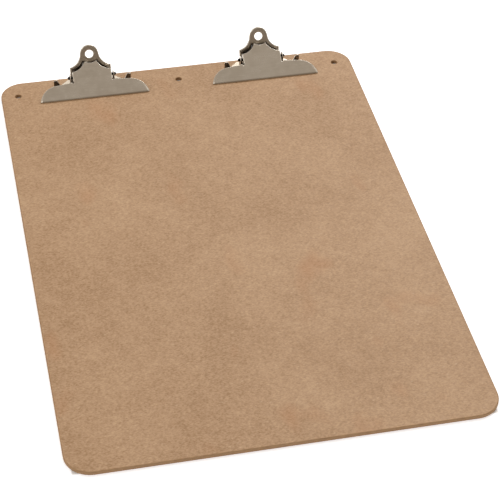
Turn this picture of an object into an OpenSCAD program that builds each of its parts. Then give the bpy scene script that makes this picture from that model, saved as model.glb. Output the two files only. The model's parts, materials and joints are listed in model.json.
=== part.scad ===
// Ledger-size hardboard clipboard with two riveted, sprung lever clips.
// +X runs across the board, +Y towards the clips, +Z out of the writing face.
// The origin is the centre of the board's back face.

/* [Board] */
// Width of the board
board_w = 317.5; // [240:0.5:400]
// Length of the board
board_l = 470; // [300:1:600]
// Thickness of the board
board_t = 3.2; // [2.4:0.1:6]
// Radius of the board's four corners
board_corner_r = 20; // [8:1:40]
// Round worn along the board's upper and lower edges
board_arris_r = 0.6; // [0.2:0.1:1]
// Diameter of the three holes along the top edge
board_hole_d = 5.5; // [3:0.1:8]
// Distance of the hole centres from the top edge
board_hole_top = 19.7; // [12:0.1:30]
// Distance of the outer hole centres from the side edges
board_hole_side = 15; // [10:0.1:30]

/* [Clip place] */
// Distance between the middles of the two clips
clip_pitch = 154; // [110:1:200]
// Distance from the board's top edge down to the jaw's front edge
clip_setback = 34.5; // [32:0.5:80]

/* [Sheet] */
// Thickness of the plated steel sheet
sheet_t = 0.8; // [0.6:0.05:1.2]
// Inside radius of the sheet's bends
bend_r = 1.2; // [0.8:0.1:2]

/* [Jaw plate] */
// Half the width of the jaw
jaw_half_w = 48.3; // [40:0.1:60]
// Depth of the wings beside the neck, measured up the slope
wing_len = 15.6; // [12:0.1:18]
// Depth of the wings where their rounded ends begin, measured up the slope
wing_end_len = 14.2; // [10:0.1:16]
// Radius of the wings' rounded ends
wing_end_r = 17; // [16:0.1:24]
// Half the width of the neck
neck_half_w = 17.4; // [14:0.1:22]
// Distance up the slope to the neck's outer corners
shoulder_len = 25.4; // [24:0.1:28]
// Distance up the slope to the two tips of the lever
lever_len = 34.4; // [30:0.1:38]
// Half the distance between the two tips
tip_half_w = 5.3; // [4:0.1:8]
// Radius of the hollowed flanks of the lever
lever_flank_r = 14.2; // [12:0.1:20]
// Radius of the hollow between the two tips
tip_hollow_r = 9.6; // [7:0.1:16]
// Slope of the jaw plate above the board
lever_slope = 32.5; // [25:0.5:40]
// Outside radius of the curl at the jaw's gripping edge
jaw_curl_r = 2; // [1.4:0.1:3]
// Gap between the jaw's edge and the board at rest
jaw_gap = 0.15; // [0.05:0.05:0.5]
// Depth of the turned-down rim at the wing ends, below the plate's top
wing_rim = 1.2; // [0.9:0.1:1.3]
// Radius of the relief notch between neck and wing
notch_r = 1.1; // [0.5:0.1:1.5]
// Distance from the relief notch up to the start of the neck's flange
flange_start = 0.4; // [0.2:0.1:2]
// Distance that the flange stops short of the neck's outer corner
flange_stop = 0.2; // [0:0.1:2]

/* [Hinge] */
// Distance of the hinge pin behind the jaw's front edge
pin_y = 21; // [19:0.1:23]
// Diameter of the hinge pin
pin_d = 2.4; // [2:0.1:3]
// Diameter of the pin's two rounded ends
pin_head_d = 3.1; // [2.8:0.1:4]
// How far each end stands out of its ear
pin_head_l = 2; // [1.2:0.1:3]
// Radial clearance of the jaw plate on the pin
pin_run = 0.08; // [0.03:0.01:0.1]
// Clearance between the spring's coil and the underside of the jaw plate
coil_clear = 0.43; // [0.3:0.01:1]
// Radial clearance of the pin in the base plate's ears
pin_seat = 0.03; // [0.02:0.01:0.08]
// Gap between each ear and the rounded end of the pin
pin_head_gap = 0.05; // [0.02:0.01:0.3]
// Side clearance between the jaw plate's flanges and the ears
ear_clear = 1.5; // [0.3:0.1:2]
// Metal left around the pin in the ears and the flanges
pin_wall = 2.2; // [1.8:0.1:2.6]
// Length of an ear where it meets the base
ear_foot = 11; // [9:0.5:13]

/* [Finger plate and ring] */
// Slope of the finger plate above the board
tower_slope = 68; // [60:0.5:75]
// Gap between the lever's tips and the finger plate, square to the finger plate
finger_gap = 3.4; // [2:0.1:6]
// Half the width of the finger plate
tower_half_w = 18.4; // [14:0.1:22]
// Distance up the finger plate to the centre of the ring
ring_up = 25.6; // [22:0.1:30]
// Outside radius of the hanging ring
ring_r = 8.2; // [7:0.1:10]
// Diameter of the hanging hole
ring_hole_d = 7; // [5:0.1:9]
// Radius of the finger plate's hollowed flanks
tower_flank_r = 12; // [10:0.1:16]
// Width of the raised border around the pressed panel
border_w = 3; // [2:0.1:4]
// Depth of the pressed panel behind the border
panel_depth = 1.5; // [0.5:0.1:2.5]
// Distance up the finger plate to the foot of the pressed panel
panel_foot = 7; // [5:0.5:10]
// Depth of the rim turned back around the finger plate
tower_rim = 1.7; // [1:0.1:3]
// Width of the shoulder left between the ring and each hollowed flank
ring_shoulder = 0.2; // [0.1:0.1:1]
// Distance from the ring's centre up to the middle of the hollowed flanks
tower_flank_rise = 0.8; // [0:0.1:3]

/* [Base plate and paper stops] */
// Half the width of the base plate
base_half_w = 34.5; // [30:0.5:40]
// Distance of the base plate's front edge behind the jaw's front edge
base_front = 4.5; // [4:0.1:6]
// Radius of the base plate's front corners
base_corner_r = 3; // [1:0.5:5]
// How far the base's sides run on behind the paper stops
base_side_l = 6.5; // [4:0.1:8]
// Width of the base left outside each ear
base_strip = 1.2; // [0.5:0.1:3]
// Length of the base left beside the finger plate, behind its foot
base_tail = 5.7; // [4:0.1:7]
// Distance of the paper stops behind the jaw's front edge
stop_y = 17.5; // [16:0.1:18]
// Height of the paper stops above the board
stop_h = 10.4; // [8:0.1:12]
// Width of a paper stop at its foot
stop_w = 7.6; // [5:0.1:9]
// Width of a paper stop across its top
stop_top_w = 2.6; // [1.5:0.1:4]
// Width of the corner cut off the top of a paper stop
stop_cut_w = 0.6; // [0.2:0.1:1]
// Height of the corner cut off the top of a paper stop
stop_cut_h = 0.8; // [0.2:0.1:1.5]

/* [Rivets] */
// Distance of the rivets either side of the clip's middle
rivet_x = 25; // [22:0.5:27]
// Distance of the rivets behind the jaw's front edge
rivet_y = 11.5; // [10:0.1:12.5]
// Diameter of a rivet's shank
rivet_d = 3.4; // [2.6:0.1:4]
// Diameter of a rivet's domed head
rivet_head_d = 6.4; // [5:0.1:7]
// Height of a rivet's domed head
rivet_head_h = 1; // [0.6:0.1:1.2]
// Diameter of the clinched end on the board's back
clinch_d = 6.6; // [5:0.1:8]
// Height of the clinched end
clinch_h = 0.8; // [0.5:0.1:1]
// How far the clinched end lies below the board's back face, in its pocket
clinch_sink = 0.1; // [0.05:0.05:0.4]
// Diameter of the rivet's hollow end
rivet_hollow_d = 1.9; // [1.2:0.1:2.2]
// Depth of the rivet's hollow end
rivet_hollow_l = 2.2; // [1.4:0.1:2.6]
// Radial clearance of the rivet's shank in its holes
rivet_clear = 0.03; // [0.02:0.01:0.1]

/* [Spring] */
// Diameter of the spring wire
wire_d = 1.3; // [0.8:0.05:1.4]
// Mean radius of the spring's coil
coil_r = 2.7; // [2.2:0.1:2.9]
// Whole turns of the coil, less about half a turn between the two legs
coil_turns = 9; // [5:1:12]
// Gap between neighbouring turns
turn_gap = 0.25; // [0.15:0.05:0.6]
// Distance up the jaw plate to the end of the spring's front leg
front_leg_end = 30; // [27:0.5:31]
// Distance up the finger plate to the end of the spring's rear leg
rear_leg_end = 18; // [15:0.5:19]
// Gap left between a leg and the plate that it presses on
leg_gap = 0.06; // [0.03:0.01:0.2]

/* [Hidden] */
$fn = 96;
// A small lap that joins what meets face to face, and how far cuts run past
eps = 0.01;
over = 1;

hardboard_colour = [0.69, 0.56, 0.44];
nickel_colour = [0.66, 0.63, 0.58];
steel_colour = [0.35, 0.34, 0.33];

// The jaw's curl turns the sheet until its edge points straight at the board.
curl_s = jaw_curl_r * (1 - sin(lever_slope)) / cos(lever_slope);
lever_rise = jaw_gap + jaw_curl_r * cos(lever_slope) - curl_s * sin(lever_slope);

// Centre of the arc that rounds a wing's end, out from the middle and up the slope
wing_end_s = wing_end_len - wing_end_r;
wing_end_x = jaw_half_w - sqrt(wing_end_r * wing_end_r - wing_end_s * wing_end_s);

// Place of the pin: below the jaw plate's top face, with room for the coil
// between, then up the plate's slope, and above the board
pin_n = -(sheet_t + coil_clear + coil_r + wire_d / 2);
pin_s = (pin_y + pin_n * sin(lever_slope)) / cos(lever_slope);
pin_z = lever_rise + pin_s * sin(lever_slope) + pin_n * cos(lever_slope);
pin_r = pin_d / 2;
knuckle_r = pin_r + pin_wall;
ear_x = neck_half_w + ear_clear;

// Depth of the pockets in the board's back that hold the clinched rivet ends
clinch_depth = clinch_h + clinch_sink;

// Centre of the arc of radius r from p to q that curves round its own right side
function mid(p, q) = (p + q) / 2;
function arc_centre(p, q, r) =
    let (d = q - p, h = sqrt(r * r - d * d / 4))
    mid(p, q) + h * [d[1], -d[0]] / norm(d);
lever_flank_c = arc_centre([neck_half_w, shoulder_len], [tip_half_w, lever_len], lever_flank_r);
tip_hollow_c = lever_len + sqrt(tip_hollow_r * tip_hollow_r - tip_half_w * tip_half_w);
tower_flank_x = ring_r + tower_flank_r + ring_shoulder;
tower_flank_up = ring_up + tower_flank_rise;

// The finger plate's foot, a finger gap behind the lever's tips, and the
// base's rear edge
tower_y = lever_len * cos(lever_slope) + finger_gap / sin(tower_slope)
    - (lever_rise + lever_len * sin(lever_slope)) / tan(tower_slope);
base_rear = tower_y + base_tail;

// Centre of the bend between base and finger plate, and where it ends
bend_y = tower_y + ((sheet_t + bend_r) * cos(tower_slope) - bend_r) / sin(tower_slope);
bend_z = sheet_t + bend_r;
bend_up = (bend_y - tower_y) * cos(tower_slope) + bend_z * sin(tower_slope);
bend_lap = 1;

// Moves into the frame of the left (-1) or right (1) clip: the middle of the
// jaw's front edge, on the board's writing face.
module at_clip(side)
    translate([side * clip_pitch / 2, board_l / 2 - clip_setback, board_t]) children();

// Moves into a plate's frame: +Y up its slope, +Z out of its front face.
module on_lever() translate([0, 0, lever_rise]) rotate([lever_slope, 0, 0]) children();
module on_tower() translate([0, tower_y, 0]) rotate([tower_slope, 0, 0]) children();

// Extrudes a (y, z) profile along X, centred.
module across(width) rotate([90, 0, 90]) linear_extrude(width, center = true) children();

// A round hole or rod along X at the hinge line.
module along_pin(r, length)
    translate([0, pin_y, pin_z]) rotate([0, 90, 0]) cylinder(r = r, h = length, center = true);

// The part of a ring between two angles, less than half a turn apart.
module ring_sector(outer_r, inner_r, from, to)
    difference() {
        intersection() {
            circle(r = outer_r);
            polygon([[0, 0], 3 * outer_r * [cos(from), sin(from)],
                     3 * outer_r * [cos(mid(from, to)), sin(mid(from, to))],
                     3 * outer_r * [cos(to), sin(to)]]);
        }
        circle(r = inner_r);
    }

module round_rect(w, l, r)
    union() {
        square([w - 2 * r, l], center = true);
        square([w, l - 2 * r], center = true);
        for (x = [-1, 1], y = [-1, 1])
            translate([x * (w / 2 - r), y * (l / 2 - r)]) circle(r = r);
    }

// ---- Board ----

// Rounds the board's edge at one height with rods and corner rings.
module edge_round(z) {
    run_x = board_w - 2 * board_corner_r;
    run_y = board_l - 2 * board_corner_r;
    in_x = board_w / 2 - board_arris_r;
    in_y = board_l / 2 - board_arris_r;
    translate([0, 0, z]) {
        for (side = [-1, 1]) {
            translate([side * in_x, 0, 0])
                rotate([90, 0, 0]) cylinder(r = board_arris_r, h = run_y, center = true);
            translate([0, side * in_y, 0])
                rotate([0, 90, 0]) cylinder(r = board_arris_r, h = run_x, center = true);
        }
        for (x = [-1, 1], y = [-1, 1])
            translate([x * run_x / 2, y * run_y / 2, 0])
                rotate_extrude()
                    translate([board_corner_r - board_arris_r, 0]) circle(r = board_arris_r);
    }
}

module board_hole_places()
    for (x = [-1, 0, 1])
        translate([x * (board_w / 2 - board_hole_side), board_l / 2 - board_hole_top, 0])
            children();

module board() {
    flat_w = board_w - 2 * board_arris_r;
    flat_l = board_l - 2 * board_arris_r;
    color(hardboard_colour)
    difference() {
        union() {
            translate([0, 0, board_arris_r])
                linear_extrude(board_t - 2 * board_arris_r)
                    round_rect(board_w, board_l, board_corner_r);
            linear_extrude(board_t)
                round_rect(flat_w, flat_l, board_corner_r - board_arris_r);
            edge_round(board_arris_r);
            edge_round(board_t - board_arris_r);
        }
        board_hole_places()
            translate([0, 0, -over]) cylinder(d = board_hole_d, h = board_t + 2 * over);
        for (side = [-1, 1], place = [-1, 1])
            at_clip(side) translate([place * rivet_x, rivet_y, -board_t - over]) {
                cylinder(r = rivet_d / 2 + rivet_clear, h = board_t + 2 * over);
                cylinder(r = clinch_d / 2 + rivet_clear, h = clinch_depth + over);
            }
    }
}

// ---- Base plate with finger plate, ring, ears and paper stops ----

// A front foot with rounded corners, a rear strip that narrows beside the
// finger plate, and a cut between the ears where the bend takes over.
module base_outline() {
    strip_x = base_half_w - stop_w;
    stop_rear = stop_y + sheet_t;
    difference() {
        union() {
            translate([-base_half_w, base_front + base_corner_r])
                square([2 * base_half_w, stop_rear - base_front - base_corner_r]);
            translate([-base_half_w + base_corner_r, base_front])
                square([2 * (base_half_w - base_corner_r), stop_rear - base_front]);
            for (side = [-1, 1])
                translate([side * (base_half_w - base_corner_r), base_front + base_corner_r])
                    circle(r = base_corner_r);
            for (side = [-1, 1])
                polygon([[0, stop_y], [side * strip_x, stop_y], [side * strip_x, stop_rear + base_side_l],
                         [side * rear_half_w(), base_rear], [0, base_rear]]);
        }
        translate([-ear_x, bend_y - bend_lap]) square([2 * ear_x, base_rear]);
    }
}

// Half the width of the strip that runs back past the ears
function rear_half_w() = ear_x + sheet_t + base_strip;

// Outline of the finger plate, drawn smaller all round by inset.
module tower_outline(inset)
    difference() {
        union() {
            translate([-tower_half_w + inset, 0])
                square([2 * (tower_half_w - inset), ring_up]);
            translate([0, ring_up]) circle(r = ring_r - inset);
        }
        for (side = [-1, 1])
            translate([side * tower_flank_x, tower_flank_up]) circle(r = tower_flank_r + inset);
        for (side = [-1, 1])
            translate([side * tower_flank_x, tower_flank_up + tower_flank_r / 2])
                square([2 * tower_flank_r, tower_flank_r], center = true);
    }

// Outline of the pressed panel, drawn larger all round by grow.
module panel_outline(grow)
    difference() {
        intersection() {
            tower_outline(border_w - grow);
            translate([-tower_half_w, panel_foot - grow]) square([2 * tower_half_w, ring_up]);
        }
        translate([0, ring_up]) circle(r = ring_r - grow);
    }

module tower()
    on_tower() difference() {
        union() {
            translate([0, 0, -sheet_t]) linear_extrude(sheet_t)
                difference() {
                    tower_outline(0);
                    panel_outline(0);
                    translate([-2 * tower_half_w, 0]) square([4 * tower_half_w, bend_up + bend_lap]);
                }
            translate([0, 0, -sheet_t - panel_depth]) {
                linear_extrude(sheet_t) panel_outline(sheet_t);
                linear_extrude(sheet_t + panel_depth) difference() {
                    panel_outline(sheet_t);
                    panel_outline(0);
                }
            }
            translate([0, 0, -tower_rim]) linear_extrude(tower_rim)
                difference() {
                    tower_outline(0);
                    tower_outline(sheet_t);
                    translate([-2 * tower_half_w, -eps])
                        square([4 * tower_half_w, panel_foot + eps]);
                }
        }
        translate([0, ring_up, -tower_rim - over])
            cylinder(d = ring_hole_d, h = tower_rim + 2 * over);
    }

// The bend that carries the base into the finger plate, with a little of both.
// A small square inside the metal joins the bend to the sloping length.
module base_bend()
    across(2 * tower_half_w) union() {
        translate([bend_y - 2 * bend_lap, 0]) square([2 * bend_lap, sheet_t]);
        translate([bend_y, bend_z])
            ring_sector(bend_r + sheet_t, bend_r, -90, tower_slope - 90);
        translate([tower_y, 0]) rotate(tower_slope) {
            translate([bend_up, -sheet_t]) square([2 * bend_lap, sheet_t]);
            translate([bend_up, -sheet_t / 2]) square(sheet_t / 2, center = true);
        }
    }

// One upright ear; its outline is a knuckle on a tapering foot.
module ear(side)
    translate([side * (ear_x + sheet_t / 2), 0, 0])
        across(sheet_t)
            union() {
                translate([pin_y, pin_z]) circle(r = knuckle_r);
                polygon([[pin_y - ear_foot / 2, 0], [pin_y + ear_foot / 2, 0],
                         [pin_y + knuckle_r, pin_z], [pin_y - knuckle_r, pin_z]]);
            }

// One paper stop: a tab with an upright outer side and a slanting inner side.
module paper_stop(side) {
    top_x = base_half_w - stop_cut_w;
    foot_x = base_half_w - stop_w;
    translate([0, stop_y + sheet_t, 0]) rotate([90, 0, 0]) linear_extrude(sheet_t)
        polygon([[side * base_half_w, 0], [side * base_half_w, stop_h - stop_cut_h],
                 [side * top_x, stop_h], [side * (top_x - stop_top_w), stop_h],
                 [side * foot_x, sheet_t], [side * foot_x, 0]]);
}

// The window left in the base where an ear is lanced out and turned up.
module ear_window(side)
    translate([side * (ear_x - pin_z / 2), pin_y, 0])
        cube([pin_z, 2 * knuckle_r, 4 * sheet_t], center = true);

module base_plate()
    color(nickel_colour)
    difference() {
        union() {
            linear_extrude(sheet_t) base_outline();
            base_bend();
            tower();
            for (side = [-1, 1]) {
                ear(side);
                paper_stop(side);
            }
        }
        for (side = [-1, 1]) {
            ear_window(side);
            translate([side * rivet_x, rivet_y, -over])
                cylinder(r = rivet_d / 2 + rivet_clear, h = sheet_t + 2 * over);
        }
        along_pin(pin_r + pin_seat, 2 * (ear_x + 2 * sheet_t));
    }

// ---- Jaw plate ----

// Outline of the jaw plate, seen square to its slope.
module jaw_outline()
    difference() {
        union() {
            for (side = [-1, 1]) {
                polygon([[0, -jaw_curl_r], [side * wing_end_x, -jaw_curl_r], [side * wing_end_x, wing_end_len],
                         [side * neck_half_w, wing_len], [0, wing_len]]);
                translate([side * wing_end_x, wing_end_s]) circle(r = wing_end_r);
            }
            translate([-neck_half_w, 0]) square([2 * neck_half_w, lever_len]);
        }
        for (side = [-1, 1])
            translate([side * lever_flank_c[0], lever_flank_c[1]]) circle(r = lever_flank_r);
        translate([0, tip_hollow_c]) circle(r = tip_hollow_r);
        for (side = [-1, 1])
            translate([side * (neck_half_w + notch_r / 2), wing_len]) circle(r = notch_r);
    }

// Section of the jaw plate along its slope: a flat with a curled front edge.
module jaw_section()
    union() {
        translate([curl_s, -sheet_t]) square([lever_len - curl_s, sheet_t]);
        translate([curl_s, -jaw_curl_r])
            ring_sector(jaw_curl_r, jaw_curl_r - sheet_t, 90, 180 - lever_slope);
    }

// The rim turned down along one rounded wing end.
module wing_rim(side)
    translate([side * wing_end_x, wing_end_s, -wing_rim])
        linear_extrude(wing_rim)
            intersection() {
                difference() {
                    circle(r = wing_end_r);
                    circle(r = wing_end_r - sheet_t);
                }
                translate([side > 0 ? 0 : -wing_end_r, curl_s - wing_end_s]) square(wing_end_r);
            }

// One flange of the neck, turned down to a knuckle around the pin.
module flange(side)
    translate([side * (neck_half_w - sheet_t / 2), 0, 0])
        across(sheet_t)
            union() {
                translate([pin_s, pin_n]) circle(r = knuckle_r);
                polygon([[wing_len + notch_r + flange_start, -eps], [shoulder_len - flange_stop, -eps],
                         [pin_s + knuckle_r, pin_n], [pin_s - knuckle_r, pin_n]]);
            }

module jaw_plate()
    color(nickel_colour)
    difference() {
        on_lever() union() {
            intersection() {
                across(2 * jaw_half_w) jaw_section();
                translate([0, 0, -jaw_curl_r])
                    linear_extrude(jaw_curl_r + over) jaw_outline();
            }
            for (side = [-1, 1]) {
                wing_rim(side);
                flange(side);
            }
        }
        along_pin(pin_r + pin_run, 2 * (neck_half_w + over));
    }

// ---- Hinge pin ----

module hinge_pin() {
    head_x = ear_x + sheet_t + pin_head_gap;
    color(steel_colour)
    translate([0, pin_y, pin_z]) rotate([0, 90, 0]) union() {
        cylinder(r = pin_r, h = 2 * head_x + eps, center = true);
        for (flip = [0, 180])
            rotate([flip, 0, 0]) translate([0, 0, head_x])
                rotate_extrude() dome(pin_head_d / 2, pin_head_l);
    }
}

// Half the section of a low dome: height over a flat base of the given radius.
module dome(r, height)
    intersection() {
        translate([0, height - dome_r(r, height)]) circle(r = dome_r(r, height));
        square([r, height]);
    }
function dome_r(r, height) = (r * r + height * height) / (2 * height);

// ---- Rivets ----

module rivet(place) {
    seat = clinch_depth - board_t - eps;
    color(nickel_colour)
    translate([place * rivet_x, rivet_y, 0]) difference() {
        union() {
            translate([0, 0, seat]) cylinder(d = rivet_d, h = sheet_t + eps - seat);
            translate([0, 0, sheet_t + eps]) rotate_extrude() dome(rivet_head_d / 2, rivet_head_h);
            translate([0, 0, seat]) mirror([0, 0, 1])
                rotate_extrude() dome(clinch_d / 2, clinch_h);
        }
        translate([0, 0, seat - clinch_h - over])
            cylinder(d = rivet_hollow_d, h = rivet_hollow_l + over);
    }
}

// ---- Spring ----

// Everything about the spring is worked out in the (y, z) plane around the pin.
function polar(a) = [cos(a), sin(a)];
function heading(v) = atan2(v[1], v[0]);
pin_yz = [pin_y, pin_z];
wire_off = wire_d / 2 + leg_gap;
coil_pitch = wire_d + turn_gap;

// Ends of the two legs: under the jaw plate, and in front of the pressed panel
front_end = [0, lever_rise] + front_leg_end * polar(lever_slope)
    + (sheet_t + wire_off) * polar(lever_slope - 90);
rear_end = [tower_y, 0] + rear_leg_end * polar(tower_slope)
    + (wire_off - panel_depth) * polar(tower_slope + 90);

// Angle on the coil at which a leg leaves it, on the given side of the line to its end
function leave_angle(end, turn) =
    heading(end - pin_yz) + turn * acos(coil_r / norm(end - pin_yz));
rear_angle = leave_angle(rear_end, -1);
front_angle = leave_angle(front_end, 1);

coil_sweep = 360 * coil_turns - (front_angle - rear_angle);
coil_steps = ceil(coil_sweep / 24);
coil_len = coil_sweep / 360 * coil_pitch;

coil_path = [for (i = [0:coil_steps])
    let (a = rear_angle - coil_sweep * i / coil_steps, p = pin_yz + coil_r * polar(a))
    [coil_len * (i / coil_steps - 0.5), p[0], p[1]]];
spring_path = concat([[-coil_len / 2, rear_end[0], rear_end[1]]], coil_path,
                     [[coil_len / 2, front_end[0], front_end[1]]]);

function unit(v) = v / norm(v);
function path_heading(path, i) =
    unit(path[min(i + 1, len(path) - 1)] - path[max(i - 1, 0)]);

// Sweeps a round wire along a path that never runs along X.
module wire(path, r, sides = 8) {
    rings = [for (i = [0:len(path) - 1])
        let (t = path_heading(path, i), n = unit(cross(t, [1, 0, 0])), b = cross(t, n))
        [for (k = [0:sides - 1]) path[i] + r * (cos(360 * k / sides) * n + sin(360 * k / sides) * b)]];
    points = [for (ring = rings) each ring];
    last = (len(path) - 1) * sides;
    faces = concat(
        [[for (k = [0:sides - 1]) k]],
        [[for (k = [0:sides - 1]) last + sides - 1 - k]],
        [for (i = [0:len(path) - 2], k = [0:sides - 1])
            let (a = i * sides + k, b = i * sides + (k + 1) % sides)
            [a, a + sides, b + sides, b]]);
    polyhedron(points, faces, convexity = 10);
}

module spring()
    color(steel_colour) wire(spring_path, wire_d / 2);

// ---- Nodes ----

board();
at_clip(-1) base_plate();  // left_base_plate
at_clip(-1) jaw_plate();  // left_jaw_plate
at_clip(-1) hinge_pin();  // left_hinge_pin
at_clip(-1) spring();  // left_spring
at_clip(-1) rivet(-1);  // left_outer_rivet
at_clip(-1) rivet(1);  // left_inner_rivet
at_clip(1) base_plate();  // right_base_plate
at_clip(1) jaw_plate();  // right_jaw_plate
at_clip(1) hinge_pin();  // right_hinge_pin
at_clip(1) spring();  // right_spring
at_clip(1) rivet(1);  // right_outer_rivet
at_clip(1) rivet(-1);  // right_inner_rivet
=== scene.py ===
"""Looks of a ledger-size hardboard clipboard with two sprung lever clips.

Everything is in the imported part's own frame, in metres: +X across the board, +Y towards
the clips, +Z out of the writing face. Sizes in the classes are millimetres, and turn to
metres once, where a mesh is made. The stampings are worked out as flat blanks first, and
are then folded as a press would fold them.
"""

import json
import logging
import math
from dataclasses import dataclass, field
from enum import Enum
from typing import Any, Callable

import bmesh
import bpy
import numpy as np
from mathutils import Matrix, Vector
from mathutils.geometry import delaunay_2d_cdt


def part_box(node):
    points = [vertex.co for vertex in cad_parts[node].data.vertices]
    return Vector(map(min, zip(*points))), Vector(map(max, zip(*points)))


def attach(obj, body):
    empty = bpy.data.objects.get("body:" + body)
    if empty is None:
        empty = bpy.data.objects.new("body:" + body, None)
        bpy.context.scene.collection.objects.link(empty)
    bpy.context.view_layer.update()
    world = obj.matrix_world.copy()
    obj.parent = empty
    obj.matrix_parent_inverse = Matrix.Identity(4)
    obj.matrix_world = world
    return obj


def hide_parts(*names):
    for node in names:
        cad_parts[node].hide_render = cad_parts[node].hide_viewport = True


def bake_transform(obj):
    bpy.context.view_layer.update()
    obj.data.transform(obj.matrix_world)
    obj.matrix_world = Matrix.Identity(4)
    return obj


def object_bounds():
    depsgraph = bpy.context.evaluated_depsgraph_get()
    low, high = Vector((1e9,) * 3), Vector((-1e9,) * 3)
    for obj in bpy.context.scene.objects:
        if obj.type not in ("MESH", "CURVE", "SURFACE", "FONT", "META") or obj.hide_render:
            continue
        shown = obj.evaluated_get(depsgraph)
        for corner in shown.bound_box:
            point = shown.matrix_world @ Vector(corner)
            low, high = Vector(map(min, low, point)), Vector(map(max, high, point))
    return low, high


Array = np.ndarray
Tree = bpy.types.NodeTree
Socket = bpy.types.NodeSocket
Form = Callable[[Array, Array, Array], tuple[Array, Array, Array]]

MM = 0.001
EDGE = "edge"
# Points closer than this, in mm, are one point of a mesh.
WELD = 0.002
# Width in mm of the flat bands beside a rounded edge, which keep the faces' shading flat.
BAND = 0.25
# Radius in mm of a turned piece's last ring, which a fan of triangles closes.
TIP = 0.02

log = logging.getLogger("clipboard")
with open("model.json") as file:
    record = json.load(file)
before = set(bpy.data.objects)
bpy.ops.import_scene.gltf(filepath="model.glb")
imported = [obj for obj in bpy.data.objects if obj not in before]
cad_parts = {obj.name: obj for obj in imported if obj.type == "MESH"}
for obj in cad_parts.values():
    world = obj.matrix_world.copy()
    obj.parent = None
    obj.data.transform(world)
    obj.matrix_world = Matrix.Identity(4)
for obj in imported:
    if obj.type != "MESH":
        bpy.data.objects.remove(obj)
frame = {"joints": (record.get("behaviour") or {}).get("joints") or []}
cad_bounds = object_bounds()


class Side(Enum):
    """Which of the two clips; the value is the sign of its place along X."""

    LEFT = -1
    RIGHT = 1

    @property
    def word(self) -> str:
        """The word that starts the names of the clip's nodes and bodies."""
        return self.name.lower()


# ---------------------------------------------------------------- outlines


def arc(centre: tuple[float, float], radius: float, start: float, end: float,
        count: int = 25) -> Array:
    """Points along a circular arc: the centre plus the radius turned from start to end.

    Args:
        centre: The arc's centre, in mm.
        radius: Its radius, in mm.
        start: First angle in degrees, anticlockwise from +X.
        end: Last angle in degrees; lower than start for a clockwise arc.
        count: How many points.

    Returns:
        A (count, 2) array.
    """
    angle = np.radians(np.linspace(start, end, count))
    x, y = centre
    return np.stack([x + radius * np.cos(angle), y + radius * np.sin(angle)], axis=1)


def circle_hole(centre: tuple[float, float], radius: float, count: int = 48) -> Array:
    """A clockwise loop for a round hole, so that the material lies on its left."""
    return arc(centre, radius, 360, 0, count + 1)[:-1]


def mirrored(half: Array) -> Array:
    """Closes the right half of a symmetrical outline with its mirror image.

    Args:
        half: Points from the middle of the near edge, round +X, to the middle of the far edge.

    Returns:
        The whole anticlockwise loop, its two middle points given once.
    """
    other = half[::-1] * (-1.0, 1.0)
    return np.concatenate([half, other[1:-1] if half[0, 0] == 0 and half[-1, 0] == 0 else other])


def resampled(loop: Array, step: float) -> Array:
    """Spaces a closed loop's points evenly along its length.

    Args:
        loop: A (points, 2) outline.
        step: The spacing to aim at, in mm.

    Returns:
        The same outline with other points, 12 at the least.
    """
    closed = np.concatenate([loop, loop[:1]])
    run = np.concatenate([[0.0], np.cumsum(np.linalg.norm(np.diff(closed, axis=0), axis=1))])
    places = np.linspace(0.0, run[-1], max(12, round(run[-1] / step)) + 1)[:-1]
    return np.stack([np.interp(places, run, closed[:, k]) for k in (0, 1)], axis=1)


def softened(loop: Array, sigma: float, step: float = 0.35) -> Array:
    """Rounds every corner of a loop, as a worn stamping tool does.

    The evenly spaced points are blurred along the loop by a Gaussian of width sigma. That
    is a product in the frequency domain, so the whole loop is done at once.

    Args:
        loop: A (points, 2) outline.
        sigma: The blur's width, in mm.
        step: The spacing of the points, in mm.

    Returns:
        The rounded outline.
    """
    points = resampled(loop, step)
    frequency = np.fft.fftfreq(len(points), d=step)
    kernel = np.exp(-2.0 * (math.pi * frequency * sigma) ** 2)
    blurred = np.fft.ifft(np.fft.fft(points[:, 0] + 1j * points[:, 1]) * kernel)
    return np.stack([blurred.real, blurred.imag], axis=1)


def inward(loop: Array) -> Array:
    """Finds the unit normals on a loop's left, which is the material's side.

    Args:
        loop: A (points, 2) outline.

    Returns:
        A (points, 2) array: each point's two neighbours' difference, turned a quarter left.
    """
    along = np.roll(loop, -1, axis=0) - np.roll(loop, 1, axis=0)
    along /= np.linalg.norm(along, axis=1, keepdims=True)
    return np.stack([-along[:, 1], along[:, 0]], axis=1)


def within(points: Array, loops: list[Array]) -> Array:
    """Finds the points inside an odd number of loops, by counting the edges to their right.

    Args:
        points: A (points, 2) array.
        loops: An outline and its holes.

    Returns:
        True or False for each point.
    """
    inside = np.zeros(len(points), bool)
    for loop in loops:
        x0, y0 = loop.T
        x1, y1 = np.roll(loop, -1, axis=0).T
        px, py = points[:, :1], points[:, 1:]
        spans = (y0 > py) != (y1 > py)
        rise = np.where(y1 == y0, 1.0, y1 - y0)
        inside ^= (spans & (px < x0 + (py - y0) * (x1 - x0) / rise)).sum(axis=1) % 2 == 1
    return inside


def smooth(value: Array) -> Array:
    """Eases from 0 to 1 as value goes from 0 to 1: three squares less two cubes."""
    value = np.clip(value, 0.0, 1.0)
    return value * value * (3.0 - 2.0 * value)


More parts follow.
